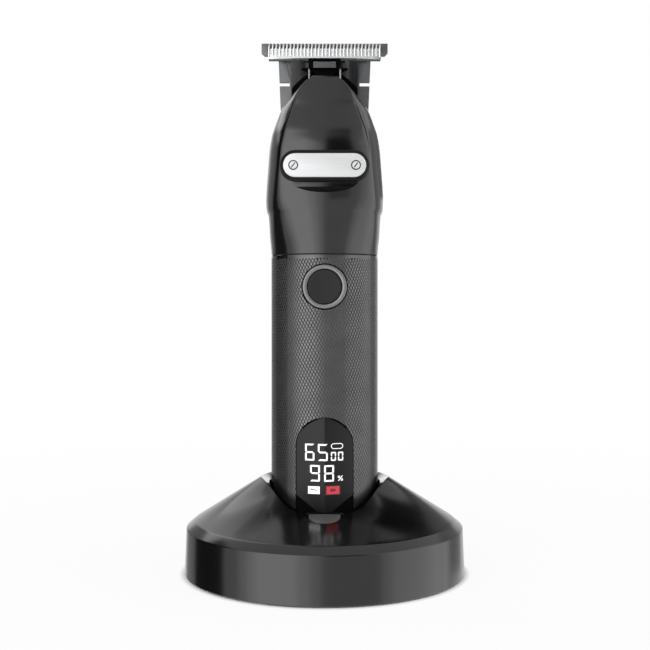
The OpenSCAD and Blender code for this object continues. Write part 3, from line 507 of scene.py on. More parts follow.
def shadeStrip(name, rings, slotName="bezel_black", loop=False):
    # a thin black piece on the clipper that stands in for the shade in a gap, groove or crease
    return dress(makePiece(name, *skin(rings, loop), 35), slotName, "clipper", material=gapBlack)


def joined(name, pieces):
    # one piece from several that share a body and a finish
    work = bmesh.new()
    for piece in pieces:
        work.from_mesh(piece.data)
        bpy.data.objects.remove(piece)
    mesh = bpy.data.meshes.new(name)
    work.to_mesh(mesh)
    work.free()
    smoothBelow(mesh, 35)
    return newPiece(name, mesh)


# working with Geometry Nodes

def geometryTree(name, inputs):
    tree = bpy.data.node_groups.new(name, "GeometryNodeTree")
    tree.interface.new_socket("Geometry", in_out="INPUT", socket_type="NodeSocketGeometry")
    tree.interface.new_socket("Geometry", in_out="OUTPUT", socket_type="NodeSocketGeometry")
    for label, kind in inputs.items():
        tree.interface.new_socket(label, in_out="INPUT", socket_type="NodeSocket" + kind)
    maker = Nodes(tree)
    return maker, maker.add("NodeGroupInput")


def closeTree(maker, shape, material):
    real = maker.add("GeometryNodeRealizeInstances", {}, {0: shape})
    painted = maker.add("GeometryNodeSetMaterial", {}, {"Geometry": real, "Material": material})
    maker.add("NodeGroupOutput", {}, {0: painted})
    return maker.tree


def grow(name, tree, values, points=(), faces=(), edges=()):
    # runs a tree once on a small mesh and keeps the result as a plain mesh
    mesh = bpy.data.meshes.new(name)
    mesh.from_pydata([[c * mm for c in point] for point in points], edges, faces)
    piece = newPiece(name, mesh)
    modifier = piece.modifiers.new("shape", "NODES")
    modifier.node_group = tree
    for item in tree.interface.items_tree:
        if item.in_out == "INPUT" and item.name in values:
            modifier[item.identifier] = values[item.name]
    bakeModifiers(piece)
    smoothBelow(piece.data, 35)
    return piece


def screwTree():
    # a cheese head with one or two slots and a shank, set on every point and turned to its axis
    maker, given = geometryTree("screws",
        {"Head radius": "Float", "Head height": "Float", "Shank radius": "Float", "Shank length": "Float",
        "Slot width": "Float", "Slot depth": "Float", "Slot length": "Float", "Slots": "Int",
        "Tilt": "Vector", "Turn": "Float", "Material": "Material"})
    height, radius = given.out("Head height"), given.out("Head radius")
    lower = maker.add("GeometryNodeMeshCylinder", {},
        {"Vertices": 48, "Radius": radius, "Depth": height * 0.7})
    lift = maker.vector(Z=height * 0.35)
    lower = maker.moved(lower, Translation=lift)
    upper = maker.add("GeometryNodeMeshCone", {}, {"Vertices": 48, "Radius Top": radius - height * 0.3,
        "Radius Bottom": radius, "Depth": height * 0.3})
    rise = maker.vector(Z=height * 0.7)
    upper = maker.moved(upper, Translation=rise)
    length = given.out("Shank length")
    shank = maker.add("GeometryNodeMeshCylinder", {}, {"Vertices": 24, "Radius": given.out("Shank radius"),
        "Depth": length})
    drop = maker.vector(Z=length * -0.5 + height * 0.1)
    shank = maker.moved(shank, Translation=drop)
    whole = maker.add("GeometryNodeMeshBoolean", {"operation": "UNION", "solver": "EXACT"},
        {"Mesh 2": [lower, upper, shank]})
    depth = given.out("Slot depth")
    size = maker.vector(X=given.out("Slot length"), Y=given.out("Slot width"), Z=depth * 2)
    bar = maker.add("GeometryNodeMeshCube", {}, {"Size": size})
    top = maker.vector(Z=height)
    line = maker.add("GeometryNodeMeshLine", {"mode": "OFFSET"}, {"Count": given.out("Slots"),
        "Start Location": top, "Offset": (0, 0, 0)})
    index = maker.add("GeometryNodeInputIndex")
    spin = maker.vector(Z=index * (math.pi / 2) + given.out("Turn"))
    turned = maker.add("FunctionNodeEulerToRotation", {}, {0: spin})
    bars = maker.spread(line, bar, turned)
    bars = maker.add("GeometryNodeRealizeInstances", {}, {0: bars})
    slotted = maker.add("GeometryNodeMeshBoolean", {"operation": "DIFFERENCE", "solver": "EXACT"},
        {"Mesh 1": whole, "Mesh 2": [bars], "Self Intersection": True})
    facing = maker.add("FunctionNodeEulerToRotation", {}, {0: given.out("Tilt")})
    placed = maker.spread(given, slotted, facing)
    return closeTree(maker, placed, given.out("Material"))


screws = screwTree()
upward, downward = (0, 0, 0), (math.pi, 0, 0)
forward, backward = (math.pi / 2, 0, 0), (-math.pi / 2, 0, 0)


def screwSet(name, points, tilt, head, shank, length, body, node, slots=2, turn=0.4, material=None):
    radius, height = head
    values = {"Head radius": radius * mm, "Head height": height * mm, "Shank radius": shank * mm,
        "Shank length": length * mm, "Slot width": radius * 0.26 * mm, "Slot depth": height * 0.45 * mm,
        "Slot length": radius * (3.0 if slots == 1 else 1.25) * mm, "Slots": slots, "Tilt": tilt,
        "Turn": turn, "Material": material or finishes["screw_steel"]}
    return dress(grow(name, screws, values, points), "screw_steel", body, node, material=material)


# the dock

dock = {"sideHeight": 14.3, "draft": 0.6, "shoulderWidth": 2.8, "shoulderHeight": 2.3, "rimDip": 7.5,
    "rimLevel": 11.0, "rimWidth": 2.8, "frontShare": 0.19, "wall": 2.2, "edge": 0.3, "around": 288, "up": 10}
shellLow, shellHigh = nodeBox("dock_shell")
cupHigh = nodeBox("well_cup")[1]
gripR = gripReach / mm
dockR = shellHigh.x
sideR = dockR - dock["draft"]
sideZ = nodeBox("dock_base_plate")[0].z + dock["sideHeight"]
shoulderR = sideR - dock["shoulderWidth"]
shoulderZ = sideZ + dock["shoulderHeight"]
wellR = gripR + 0.6
frontR = wellR + dock["frontShare"] * dock["rimWidth"]
lipZ = cupHigh.z + 0.1
lipR = wellR + 1.7


def notchAt(x):
    over = x - dock["rimLevel"]
    return (over + math.sqrt(over * over + 2)) / 2


def rimAt(angle):
    # height of the rim's inner edge, level at the sides and back and notched at the front
    climb = 1 if math.cos(angle) < 0 else notchAt(wellR * abs(math.sin(angle))) / notchAt(wellR)
    return shellHigh.z - dock["rimWidth"] / 2 - dock["rimDip"] * (1 - climb)


def rimWidth(angle):
    t = min(1, max(0, (math.degrees(math.acos(math.cos(angle))) - 60) / 32))
    return dock["rimWidth"] * (dock["frontShare"] + (1 - dock["frontShare"]) * t * t * (3 - 2 * t))


def slopeAt(angle, radius):
    width = rimWidth(angle)
    share = (shoulderR - radius) / (shoulderR - wellR - width)
    return shoulderZ + (rimAt(angle) + width / 2 - shoulderZ) * min(1, share)


def roundCorners(points, sizes):
    # an outline whose sized corners become short curves
    outline = []
    for i, size in enumerate(sizes):
        before, here, after = (Vector(points[(i + k) % len(points)]) for k in (-1, 0, 1))
        if size:
            start = here + (before - here).normalized() * size
            end = here + (after - here).normalized() * size
            outline += [tuple(start.lerp(here, t).lerp(here.lerp(end, t), t))
                for t in (0, 0.25, 0.5, 0.75, 1)]
        else:
            outline.append(tuple(here))
    return outline


def dockSection(angle):
    width, rim, up, edge = rimWidth(angle), rimAt(angle), dock["up"], dock["edge"]
    outer = wellR + width
    inner = max(outer, lipR + 0.3)
    corners = [((dockR, shellLow.z), 0.3), ((sideR, sideZ), edge), ((shoulderR, shoulderZ), edge)]
    climb = [shoulderR + (outer - shoulderR) * i / up for i in range(1, up)]
    corners += [((x, slopeAt(angle, x)), 0) for x in climb]
    corners += [((outer, rim + width / 2), min(edge, width * 0.3)), ((wellR, rim), min(edge, width * 0.3))]
    corners += [((wellR, lipZ), 0), ((lipR, lipZ), 0)]
    for t in (1 - i / up for i in range(up + 1)):
        x = shoulderR + (inner - shoulderR) * t
        corners.append(((x, slopeAt(angle, x) - dock["wall"] - 0.35 * t), 0))
    corners += [((sideR - dock["wall"], sideZ - 1), 0), ((sideR - dock["wall"], shellLow.z), 0)]
    return roundCorners([point for point, size in corners], [size for point, size in corners])


def makeDock():
    around = dock["around"]
    rings = []
    for i in range(around):
        angle = 2 * math.pi * i / around
        rings.append([(r * math.sin(angle), -r * math.cos(angle), z) for r, z in dockSection(angle)])
    shell = makePiece("dockShell", *skin(rings, True), 20)
    low, high = nodeBox("power_inlet")
    inletCut = makePiece("inletCut", *skin([[(x, y, (low.z + high.z) / 2 + z)
        for x, z in stadium(high.x - low.x + 0.24, high.z - low.z + 0.24)] for y in (low.y - 3, dockR + 2)]))
    shell = cutAway(shell, inletCut, statusPrism(0.14, -2, 6), degrees=20)
    return dress(shell, "dock_black", "dock", "dock_shell")


def stadium(width, height, steps=16):
    r, run = height / 2, (width - height) / 2
    right = [(run + x, z) for x, z in arc(0, 0, r, -90, 90, steps)]
    return right + [(-x, -z) for x, z in right]


statusLight = {"width": 11.8, "length": 8.1, "thick": 1.5, "back": 0.1, "groove": 0.8}


def statusOutline(spread, steps=28):
    y = -(frontR - statusLight["back"])
    across, along = statusLight["width"] / 2 + spread, statusLight["length"] + spread
    outline = []
    for i in range(steps + 1):
        turn = math.pi * (1 + i / steps)
        back = spread if i in (0, steps) else min(0, spread)
        outline.append((across * math.cos(turn), y + back + along * math.sin(turn)))
    return outline


def slopeHeight(x, y):
    return slopeAt(math.atan2(x, -y), math.hypot(x, y))


def statusPrism(spread, low, high):
    middle = slopeHeight(0, -(frontR + 3))
    outline = statusOutline(spread)
    return makePiece("statusCut", *skin([[(x, y, middle + z) for x, y in outline] for z in (low, high)]))


def makeStatusLight():
    # diffuser that follows the slope, with a small round along its edge, in a groove whose black floor is
    # painted shade
    groove = statusLight["groove"]
    rings = []
    for inset, drop in ((0, statusLight["thick"]), (0, 0.12), (0.05, 0.03), (0.14, 0.0)):
        rings.append([(x, y, slopeHeight(x, y) - drop) for x, y in statusOutline(-inset - groove)])
    middle = -(frontR + 0.1 + groove)
    for share in (0.8, 0.6, 0.4, 0.2, 0.06):
        ring = []
        for x, y in statusOutline(-0.14 - groove):
            x, y = x * share, middle + (y - middle) * share
            ring.append((x, y, slopeHeight(x, y)))
        rings.append(ring)
    light = makePiece("statusLight", *skin(rings), 40)
    dress(light, "light_lens", "dock", "status_light")
    # painted shade: a black floor in the groove round the diffuser
    bed = [[(x, y, slopeHeight(x, y) - drop) for x, y in statusOutline(-0.02)] for drop in (1.5, 0.8)]
    dress(makePiece("statusGrooveShade", *skin(bed), 40), "base_black", "dock", material=gapBlack)


makeDock()
makeStatusLight()
for node, name, edge, slotName in (("dock_base_plate", "dockBasePlate", 0.25, "base_black"),
        ("well_cup", "wellCup", 0.25, "base_black"), ("power_inlet", "powerInlet", 0.08, "inlet_steel"),
        ("contact_barrels", "contactBarrels", 0.1, "contact_brass")):
    dress(softened(node, name, edge), slotName, "dock", node)
rubberFoot = {"radius": 5.0, "hollow": 2.6, "hollowDepth": 0.25}


def makeFeet():
    # rubber buttons with a rounded edge and a shallow hollow moulded in the sole
    r, hollow, rise = rubberFoot["radius"], rubberFoot["hollow"], rubberFoot["hollowDepth"]
    high = nodeBox("dock_feet")[1]
    reach, top = high.x - r, high.z
    profile = [(0, rise), (hollow, rise), (hollow + 0.2, 0.0), (r - 0.35, 0.0), (r - 0.1, 0.1), (r, 0.35),
        (r, top), (0, top)]
    places = [(sx * reach, sy * reach, 0) for sx in (-1, 1) for sy in (-1, 1)]
    feet = [revolve("foot", profile, 48, "Z", place) for place in places]
    return dress(joined("rubberFeet", feet), "foot_rubber", "dock", "dock_feet")


makeFeet()
print("dock made")


# the grip

knurl = {"leftStarts": 98, "rightStarts": 108, "leftRise": 0.5875, "rightRise": 0.431,
    "depth": knurlDepth / mm, "flat": 0.77, "snug": 0.996, "margin": 1.05, "plainEnd": 1.0,
    "split": 0.66}
window = {"width": 18.1, "point": 5.5, "tip": 4.6, "cutLow": 16.0, "line": 0.24}
ringLow, ringHigh = nodeBox("button_ring")
buttonZ = (ringLow.z + ringHigh.z) / 2
ringR = ringHigh.x
lensLow, lensHigh = nodeBox("display_lens")
sleeveLow, sleeveHigh = nodeBox("grip_sleeve")
windowR = window["width"] / 2
archZ = lensHigh.z - windowR
windowLow = lensLow.z + window["point"]


def knurlTree():
    # one stud in every cell between two crossing families of helical grooves
    maker, given = geometryTree("knurl",
        {"Left starts": "Float", "Right starts": "Float", "Left rise": "Float", "Right rise": "Float",
        "Rows": "Float", "Radius": "Float", "Low": "Float", "High": "Float", "Ring height": "Float",
        "Ring radius": "Float", "Window half": "Float", "Arch height": "Float", "Window low": "Float",
        "Clear": "Float", "Reach": "Float", "Whole": "Float", "Material": "Material"})
    index = maker.add("GeometryNodeInputIndex")
    left, right = given.out("Left starts"), given.out("Right starts")
    leftRise, rightRise = given.out("Left rise"), given.out("Right rise")
    cells = left * rightRise + right * leftRise
    m = index.math("MODULO", index, left)
    first = m.math("CEIL", (cells * given.out("Low") - right * m) / left)
    n = first + index.math("FLOOR", index / left)
    turn = (leftRise * n - rightRise * m) / cells * (-2 * math.pi)
    x = turn.math("SINE", turn) * given.out("Radius")
    y = turn.math("COSINE", turn) * given.out("Radius") * -1
    spot = maker.vector(X=x, Y=y, Z=(left * n + right * m) / cells)
    points = maker.add("GeometryNodePoints", {}, {"Count": left * given.out("Rows"), "Position": spot})
    place = maker.add("GeometryNodeInputPosition")
    apart = maker.add("ShaderNodeSeparateXYZ", {}, {"Vector": place})
    px, py, pz = apart, apart.out("Y"), apart.out("Z")
    up = pz - given.out("Ring height")

    def insideBy(margin):
        ring = root(px * px + up * up) < given.out("Ring radius") + margin
        half = given.out("Window half") + margin
        over = pz.math("MAXIMUM", pz - given.out("Arch height"), 0.0)
        width = root(px.math("MAXIMUM", half * half - over * over, 0.0))
        pane = (px.math("ABSOLUTE", px) < width) * (pz > given.out("Window low") - margin)
        return (py < 0.0) * ring.math("MAXIMUM", ring, pane)

    outside = 1 - insideBy(given.out("Clear"))
    near = insideBy(given.out("Reach"))
    kept = outside * near.math("MAXIMUM", near, given.out("Whole")) * (pz < given.out("High"))
    points = maker.add("GeometryNodeSeparateGeometry", {"domain": "POINT"},
        {"Geometry": points, "Selection": kept})
    turnBack = maker.vector(X=math.pi / 2, Z=px.math("ARCTAN2", px, py * -1))
    facing = maker.add("FunctionNodeEulerToRotation", {}, {0: turnBack})
    placed = maker.spread(points, given, facing)
    return closeTree(maker, placed, given.out("Material"))


knurlIn = gripR - knurl["depth"] - 0.02
knurlCells = knurl["leftStarts"] * knurl["rightRise"] + knurl["rightStarts"] * knurl["leftRise"]


def knurlStud():
    # a flat-topped cell whose four corners lie where the grooves cross
    corners = []
    for m, n in ((0.5, 0.5), (0.5, -0.5), (-0.5, -0.5), (-0.5, 0.5)):
        across = (knurl["rightRise"] * m - knurl["leftRise"] * n) / knurlCells * 2 * math.pi * knurlIn
        corners.append((across, (knurl["leftStarts"] * n + knurl["rightStarts"] * m) / knurlCells))
    depth, flat = gripR - knurlIn, knurl["flat"]
    levels = ((0, knurl["snug"]), (depth * 0.72, flat + 0.1), (depth * 0.93, flat), (depth, flat - 0.16))
    return skin([[(x * share, z * share, rise) for x, z in corners] for rise, share in levels])


def knurlValues(clear, reach, whole, low, high):
    return {"Left starts": float(knurl["leftStarts"]), "Right starts": float(knurl["rightStarts"]),
        "Left rise": knurl["leftRise"] / mm, "Right rise": knurl["rightRise"] / mm,
        "Rows": float(math.ceil(knurlCells * (high - low) / knurl["leftStarts"]) + 1), "Radius": knurlIn * mm,
        "Low": low * mm, "High": high * mm, "Ring height": buttonZ * mm, "Ring radius": ringR * mm,
        "Window half": windowR * mm, "Arch height": archZ * mm, "Window low": window["cutLow"] * mm,
        "Clear": clear * mm, "Reach": reach * mm, "Whole": whole, "Material": finishes["grip_metal"]}


def windowOutline(spread, steps=40):
    # the opening of the sleeve, an arch on straight sides that run down into the well
    half = windowR + spread
    turns = [math.pi * i / steps for i in range(steps + 1)]
    arch = [(half * math.cos(a), archZ + half * math.sin(a)) for a in turns]
    return arch + [(-half, window["cutLow"] - spread), (half, window["cutLow"] - spread)]


def prismY(name, outline, low, high):
    return makePiece(name, *skin([[(x, y, z) for x, z in outline] for y in (low, high)]))


def frontCutters():
    # what opens the sleeve and its knurl for the button's ring and the display
    ring = [(0, -gripR - 2), (ringR + 0.08, -gripR - 2), (ringR + 0.08, -6), (0, -6)]
    pane = windowOutline(window["line"])
    return revolve("ringCut", ring, 96, "Y", (0, 0, buttonZ)), prismY("windowCut", pane, -gripR - 2, -6)


sleeve = {"bore": 16.04, "band": 1.35, "bandInset": 0.02}


def makeGrip():
    inner, bore = gripR - knurl["depth"], sleeve["bore"]
    low, high = sleeveLow.z, sleeveHigh.z
    profile = [(bore, low), (inner - 0.2, low), (inner, low + 0.2), (inner, high - 0.1), (inner - 0.1, high),
        (bore, high)]
    tube = revolve("gripSleeve", profile, 192)
    dress(cutAway(tube, *frontCutters()), "grip_metal", "clipper", "grip_sleeve")
    # a plain band that ends the knurl at the top
    r, low = gripR - sleeve["bandInset"], high - sleeve["band"]
    profile = [(inner - 0.4, low), (r - 0.08, low), (r, low + 0.08), (r, high - 0.12), (r - 0.12, high),
        (inner - 0.4, high)]
    dress(revolve("gripBand", profile, 192), "grip_metal", "clipper")
    tree, margin = knurlTree(), knurl["margin"]
    low, high = sleeveLow.z + knurl["plainEnd"], sleeveHigh.z - knurl["plainEnd"]
    # half way between two levels of studs, which stand 2 / knurlCells apart
    split = (2 * math.floor((low + (high - low) * knurl["split"]) * knurlCells / 2) + 1) / knurlCells
    studs = grow("gripKnurl", tree, knurlValues(margin, margin, 1.0, low, split), *knurlStud())
    upper = grow("upper", tree, knurlValues(margin, margin, 1.0, split, high), *knurlStud())
    fringe = grow("fringe", tree, knurlValues(-margin, margin, 0.0, low, high), *knurlStud())
    # the upper studs share a piece with the cut ones, so that neither piece grows too large
    for piece in (studs, joined("gripKnurlEdge", [upper, cutAway(fringe, *frontCutters())])):
        smoothBelow(piece.data, 5)
        dress(piece, "grip_metal", "clipper")


# how far each black lining of a gap reaches in and out from the edge of its gap, and the depth of its face
# and its back
gapShade = {"paneIn": 0.3, "paneOut": 0.4, "paneFace": 0.45, "paneBack": 0.9, "ringIn": 0.5, "ringOut": 0.2,
    "ringFace": 0.14, "ringBack": 1.6}


def makeGapShades():
    # painted shade: black linings below the surface, in the gaps round the display window and the button's
    # ring
    s = gapShade
    inner, outer = windowOutline(-s["paneIn"]), windowOutline(window["line"] + s["paneOut"])
    face, back = s["paneFace"], s["paneBack"]
    rings = []
    for outline, deep in ((outer, back), (outer, face), (inner, face), (inner, back)):
        rings.append([(x, -math.sqrt((gripR - deep) ** 2 - x * x), z) for x, z in outline])
    shadeStrip("windowGapShade", rings, loop=True)
    turns = [(math.cos(math.radians(3.75 * i)), math.sin(math.radians(3.75 * i))) for i in range(96)]
    inner, outer, face, back = ringR - s["ringIn"], ringR + s["ringOut"], s["ringFace"], s["ringBack"]
    rings = []
    for r, deep in ((inner, back), (inner, face), (outer, face), (outer, back)):
        rings.append([(r * c, -math.sqrt((gripR - deep) ** 2 - (r * c) ** 2), buttonZ + r * s)
            for c, s in turns])
    shadeStrip("ringGapShade", rings, loop=True)


sill = {"inset": 0.04, "thick": 1.3, "edge": 0.06, "topEdge": 0.08, "dropMiddle": 0.3, "dropSides": 0.5,
    "steps": 24}


def makeWindowSill():
    # smooth black corners that fill the opening on both sides of the lens's point, black as painted shade in
    # place of the knurl that lies in shadow there
    s = sill
    reach, steps, low = gripR - s["inset"], s["steps"], window["cutLow"]
    tip, line = window["tip"] / 2, window["line"]
    fall = (windowLow - lensLow.z) / (windowR - tip)
    rings = []
    for i in range(steps + 1):
        x = windowR * (2 * i / steps - 1)
        drop = line * (s["dropMiddle"] if abs(x) < tip else s["dropSides"])
        top = lensLow.z + max(0, abs(x) - tip) * fall - drop
        front, back = -math.sqrt(reach ** 2 - x * x), -math.sqrt((reach - s["thick"]) ** 2 - x * x)
        rings.append([(x, front + s["edge"], low), (x, front, low + s["edge"]),
            (x, front, top - s["topEdge"]), (x, front + s["topEdge"], top), (x, back, top), (x, back, low)])
    shadeStrip("windowSillShade", rings)


makeGrip()
makeGapShades()
makeWindowSill()
cap = softened("bottom_cap", "bottomCap", 0.2)
dress(cap, "inner_plastic", "clipper", "bottom_cap", material=finishes["base_black"])
dress(softened("charge_pads", "chargePads", 0.12), "contact_brass", "clipper", "charge_pads")
print("grip made")


# the button and the ring round it

button = {"hole": 5.65, "stem": 1.9, "skirt": 2.2}


def makeButton():
    y0, y1 = ringLow.y, ringHigh.y
    hole, stem, skirt = button["hole"], button["stem"], button["skirt"]
    ring = [(hole, y1), (hole, y0 + 0.45)]
    ring += [(hole + 0.3 - 0.3 * math.cos(a), y0 + 0.3 - 0.3 * math.sin(a) + 0.02) for a in (0.4, 0.9, 1.57)]
    reach = ringR - 0.3
    ring += [(reach - 0.4, y0), (reach - 0.18, y0 + 0.05), (reach - 0.05, y0 + 0.18), (reach, y0 + 0.4),
        (reach, y1)]
    dress(revolve("buttonRing", ring, 128, "Y", (0, 0, buttonZ)), "ring_grey", "clipper", "button_ring")
    low, high = nodeBox("power_button")
    r = (high.x - low.x) / 2
    y = low.y
    cap = [(0, y + 0.22), (r * 0.3, y + 0.2), (r * 0.6, y + 0.13), (r * 0.85, y + 0.03), (r - 0.45, y),
        (r - 0.2, y + 0.05), (r - 0.05, y + 0.2), (r, y + 0.45), (r, y + skirt), (stem, y + skirt),
        (stem, high.y), (0, high.y)]
    dress(revolve("powerButton", cap, 128, "Y", (0, 0, buttonZ)), "button_black", "button", "power_button")


makeButton()


# the display

lensFall = (gripR - math.sqrt(gripR ** 2 - windowR ** 2)) / windowR
display = {"lift": 0.03, "stroke": 0.54, "thin": 0.4, "gap": 0.07, "speedLow": 16.65, "speedHeight": 5.4,
    "smallHeight": 2.8, "chargeLow": 10.03, "chargeHeight": 5.25, "iconLow": 6.05, "iconHeight": 2.42,
    "pill": (3.98, 21.3), "pillWidth": 3.9, "pillHeight": 1.8, "pillLine": 0.23}
segmentsOf = {"0": "abcdef", "5": "afgcd", "6": "afgedc", "8": "abcdefg", "9": "abcdfg"}


def digit(letter, left, low, width, height, stroke):
    # seven mitred strokes: a top, b and c right, d bottom, e and f left, g middle
    g, half, t = display["gap"] * stroke / display["stroke"], height / 2, stroke
    bars = {
        "a": [(g, height), (width - g, height), (width - g - t, height - t), (g + t, height - t)],
        "d": [(g, 0), (g + t, t), (width - g - t, t), (width - g, 0)],
        "g": [(g + t / 2, half), (g + t, half + t / 2), (width - g - t, half + t / 2),
        (width - g - t / 2, half), (width - g - t, half - t / 2), (g + t, half - t / 2)],
        "f": [(0, height - g), (t, height - g - t), (t, half + g + t / 2), (t / 2, half + g),
        (0, half + g + t / 2)],
        "e": [(0, g), (0, half - g - t / 2), (t / 2, half - g), (t, half - g - t / 2), (t, g + t)],
    }
    bars["b"] = [(width - x, z) for x, z in bars["f"]]
    bars["c"] = [(width - x, z) for x, z in bars["e"]]
    return [[(left + x, low + z) for x, z in bars[bar]] for bar in segmentsOf[letter]]


def ringShape(outline, inner):
    # a closed band as one quad for each side
    count = len(outline)
    return [[outline[i], outline[(i + 1) % count], inner[(i + 1) % count], inner[i]] for i in range(count)]


def layOnLens(name, shapes, lift, slotName="display_panel", material=None):
    work = bmesh.new()
    base = lensLow.z
    for shape in shapes:
        work.faces.new([work.verts.new((x, 0, base + z)) for x, z in shape])
    everything = work.verts[:] + work.edges[:] + work.faces[:]
    bmesh.ops.bisect_plane(work, geom=everything, plane_co=(0, 0, 0), plane_no=(1, 0, 0))
    bmesh.ops.remove_doubles(work, verts=work.verts, dist=0.0005)
    bmesh.ops.recalc_face_normals(work, faces=work.faces)
    front = work.faces[:]
    back = bmesh.ops.extrude_face_region(work, geom=front)
    moved = {v for v in back["geom"] if isinstance(v, bmesh.types.BMVert)}
    for v in work.verts:
        surface = -gripR + abs(v.co.x) * lensFall
        v.co.y = surface + (0.06 if v in moved else -lift)
    bmesh.ops.recalc_face_normals(work, faces=work.faces)
    bmesh.ops.scale(work, vec=(mm, mm, mm), verts=work.verts)
    mesh = bpy.data.meshes.new(name)
    work.to_mesh(mesh)
    work.free()
    return dress(newPiece(name, mesh), slotName, "clipper", material=material)


def box(x0, x1, z0, z1):
    return [(x0, z0), (x1, z0), (x1, z1), (x0, z1)]


def makeDisplay():
    lens = softened("display_lens", "displayLens", 0.07, 2, 12)
    dress(lens, "lens_black", "clipper", "display_lens")
    d = display
    lift, lit = d["lift"], []
    speed, charge = (d["speedLow"], d["speedHeight"]), (d["chargeLow"], d["chargeHeight"])
    small = (d["speedLow"], d["smallHeight"])
    for letter, left, width, (low, height) in (("6", -6.25, 3.0, speed), ("5", -2.15, 3.15, speed),
            ("0", 2.0, 1.65, small), ("0", 4.3, 1.65, small), ("9", -4.65, 3.15, charge),
            ("8", -0.15, 3.15, charge)):
        thick = d["thin"] if height == d["smallHeight"] else d["stroke"]
        lit += digit(letter, left, low, width, height, thick)
    pill = []
    for inset in (0, 2 * d["pillLine"]):
        band = stadium(d["pillWidth"] - inset, d["pillHeight"] - inset, 8)
        pill.append([(d["pill"][0] + x, d["pill"][1] + z) for x, z in band])
    lit += ringShape(*pill)
    # a slanted stroke between two small squares
    lit += [[(4.25, 10.2), (4.6, 10.2), (5.85, 11.8), (5.5, 11.8)]]
    for x, z in ((4.6, 11.45), (5.5, 10.55)):
        lit += ringShape(box(x - 0.34, x + 0.34, z - 0.34, z + 0.34),
            box(x - 0.14, x + 0.14, z - 0.14, z + 0.14))
    low, high = d["iconLow"], d["iconLow"] + d["iconHeight"]
    lit += [box(-5.3, -1.55, low, high)]
    layOnLens("displayWhite", lit, lift)
    layOnLens("displayHalo", [box(0.3, 5.0, low - 0.25, high + 0.25)], lift - 0.01, material=displayHalo)
    layOnLens("displayRed", [box(0.65, 4.65, low, high)], lift + 0.01, material=displayRed)
    # a plug in the white field and a cell in the red one
    plug = [box(-4.2, -3.3, low + 1.3, low + 1.55), [(-3.3, low + 1.55), (-3.3, low + 1.3), (-2.7, low + 0.9),
        (-2.7, low + 1.15)], box(-4.45, -4.2, low + 1.1, low + 1.75), box(-2.7, -2.3, low + 0.9, low + 1.15)]
    cell = [box(1.75, 3.4, low + 0.75, low + 1.7), box(3.4, 3.65, low + 1.05, low + 1.4)]
    layOnLens("displayMarks", plug, lift + 0.02, slotName="lens_black", material=displayDark)
    layOnLens("displayCell", cell, lift + 0.03, material=displayDeep)


makeDisplay()
print("display and button made")


# the head

head = {"noseHalf": 4.7, "noseFront": 8.6, "bulge": 1.86, "belly": 1.2, "backTop": 4.0, "wall": 1.8,
    "faceWall": 3.0, "split": -1.0, "visor": -4.2, "visorHeight": 6.5, "levels": 120, "scoopHeight": 3.7,
    "scoopDepth": 1.8, "ledge": 1.0, "shelf": 1.7}
# share of height, bulge, narrowing, fall of the front, crown, fall of the back, flank's width, edge
headStations = [
    (0, 0, 0, 0, 1, 0, 2.34, 3.4), (0.12, 0.33, 0, 0, 0.78, 0, 2.8, 3.2),
    (0.222, 0.56, 0, 0, 0.6, 0.02, 3.2, 2.6), (0.253, 0.88, 0, 0, 0.55, 0.03, 3.7, 2.2),
    (0.308, 1, 0, 0, 0.48, 0.06, 4.0, 1.7), (0.398, 1, 0.017, 0, 0.43, 0.13, 4.1, 1.2),
    (0.49, 1, 0.044, 0.023, 0.39, 0.23, 4.1, 1.0), (0.583, 1, 0.072, 0.1, 0.36, 0.36, 4.15, 1.0),
    (0.675, 1, 0.126, 0.265, 0.3, 0.5, 4.4, 1.0), (0.752, 1, 0.224, 0.44, 0.235, 0.62, 4.4, 1.0),
    (0.82, 1, 0.329, 0.594, 0.2, 0.73, 4.1, 1.0), (0.865, 1, 0.45, 0.694, 0.16, 0.79, 3.1, 0.9),
    (0.906, 1, 0.583, 0.787, 0.13, 0.85, 1.9, 0.7), (0.94, 1, 0.715, 0.865, 0.09, 0.9, 1.1, 0.4),
    (0.974, 1, 0.858, 0.942, 0.05, 0.96, 0.7, 0.3), (1, 1, 1, 1, 0.03, 1, 0.5, 0.2),
]
frontLow, frontHigh = nodeBox("head_front_shell")
rearLow, rearHigh = nodeBox("head_rear_shell")
seamZ = frontLow.z - 0.15
headTop = frontHigh.z


def stationAt(share):
    # smooth curve through the stations that never overshoots them
    last = len(headStations) - 1
    i = max(j for j in range(last) if headStations[j][0] <= share + 1e-9)
    k0, k1 = headStations[i][0], headStations[i + 1][0]
    t = (share - k0) / (k1 - k0)

    def steepness(j, c):
        if j in (0, last):
            return 0.0
        before, here, after = headStations[j - 1], headStations[j], headStations[j + 1]
        s0 = (here[c] - before[c]) / (here[0] - before[0])
        s1 = (after[c] - here[c]) / (after[0] - here[0])
        return 2 * s0 * s1 / (s0 + s1) if s0 * s1 > 0 else 0.0

    found = []
    for c in range(1, 8):
        a, b = headStations[i][c], headStations[i + 1][c]
        m0, m1 = steepness(i, c) * (k1 - k0), steepness(i + 1, c) * (k1 - k0)
        found.append((2 * t ** 3 - 3 * t ** 2 + 1) * a + (t ** 3 - 2 * t ** 2 + t) * m0
            + (3 * t ** 2 - 2 * t ** 3) * b + (t ** 3 - t ** 2) * m1)
    return found


def bow(half, rise):
    return (half * half + rise * rise) / (2 * rise)


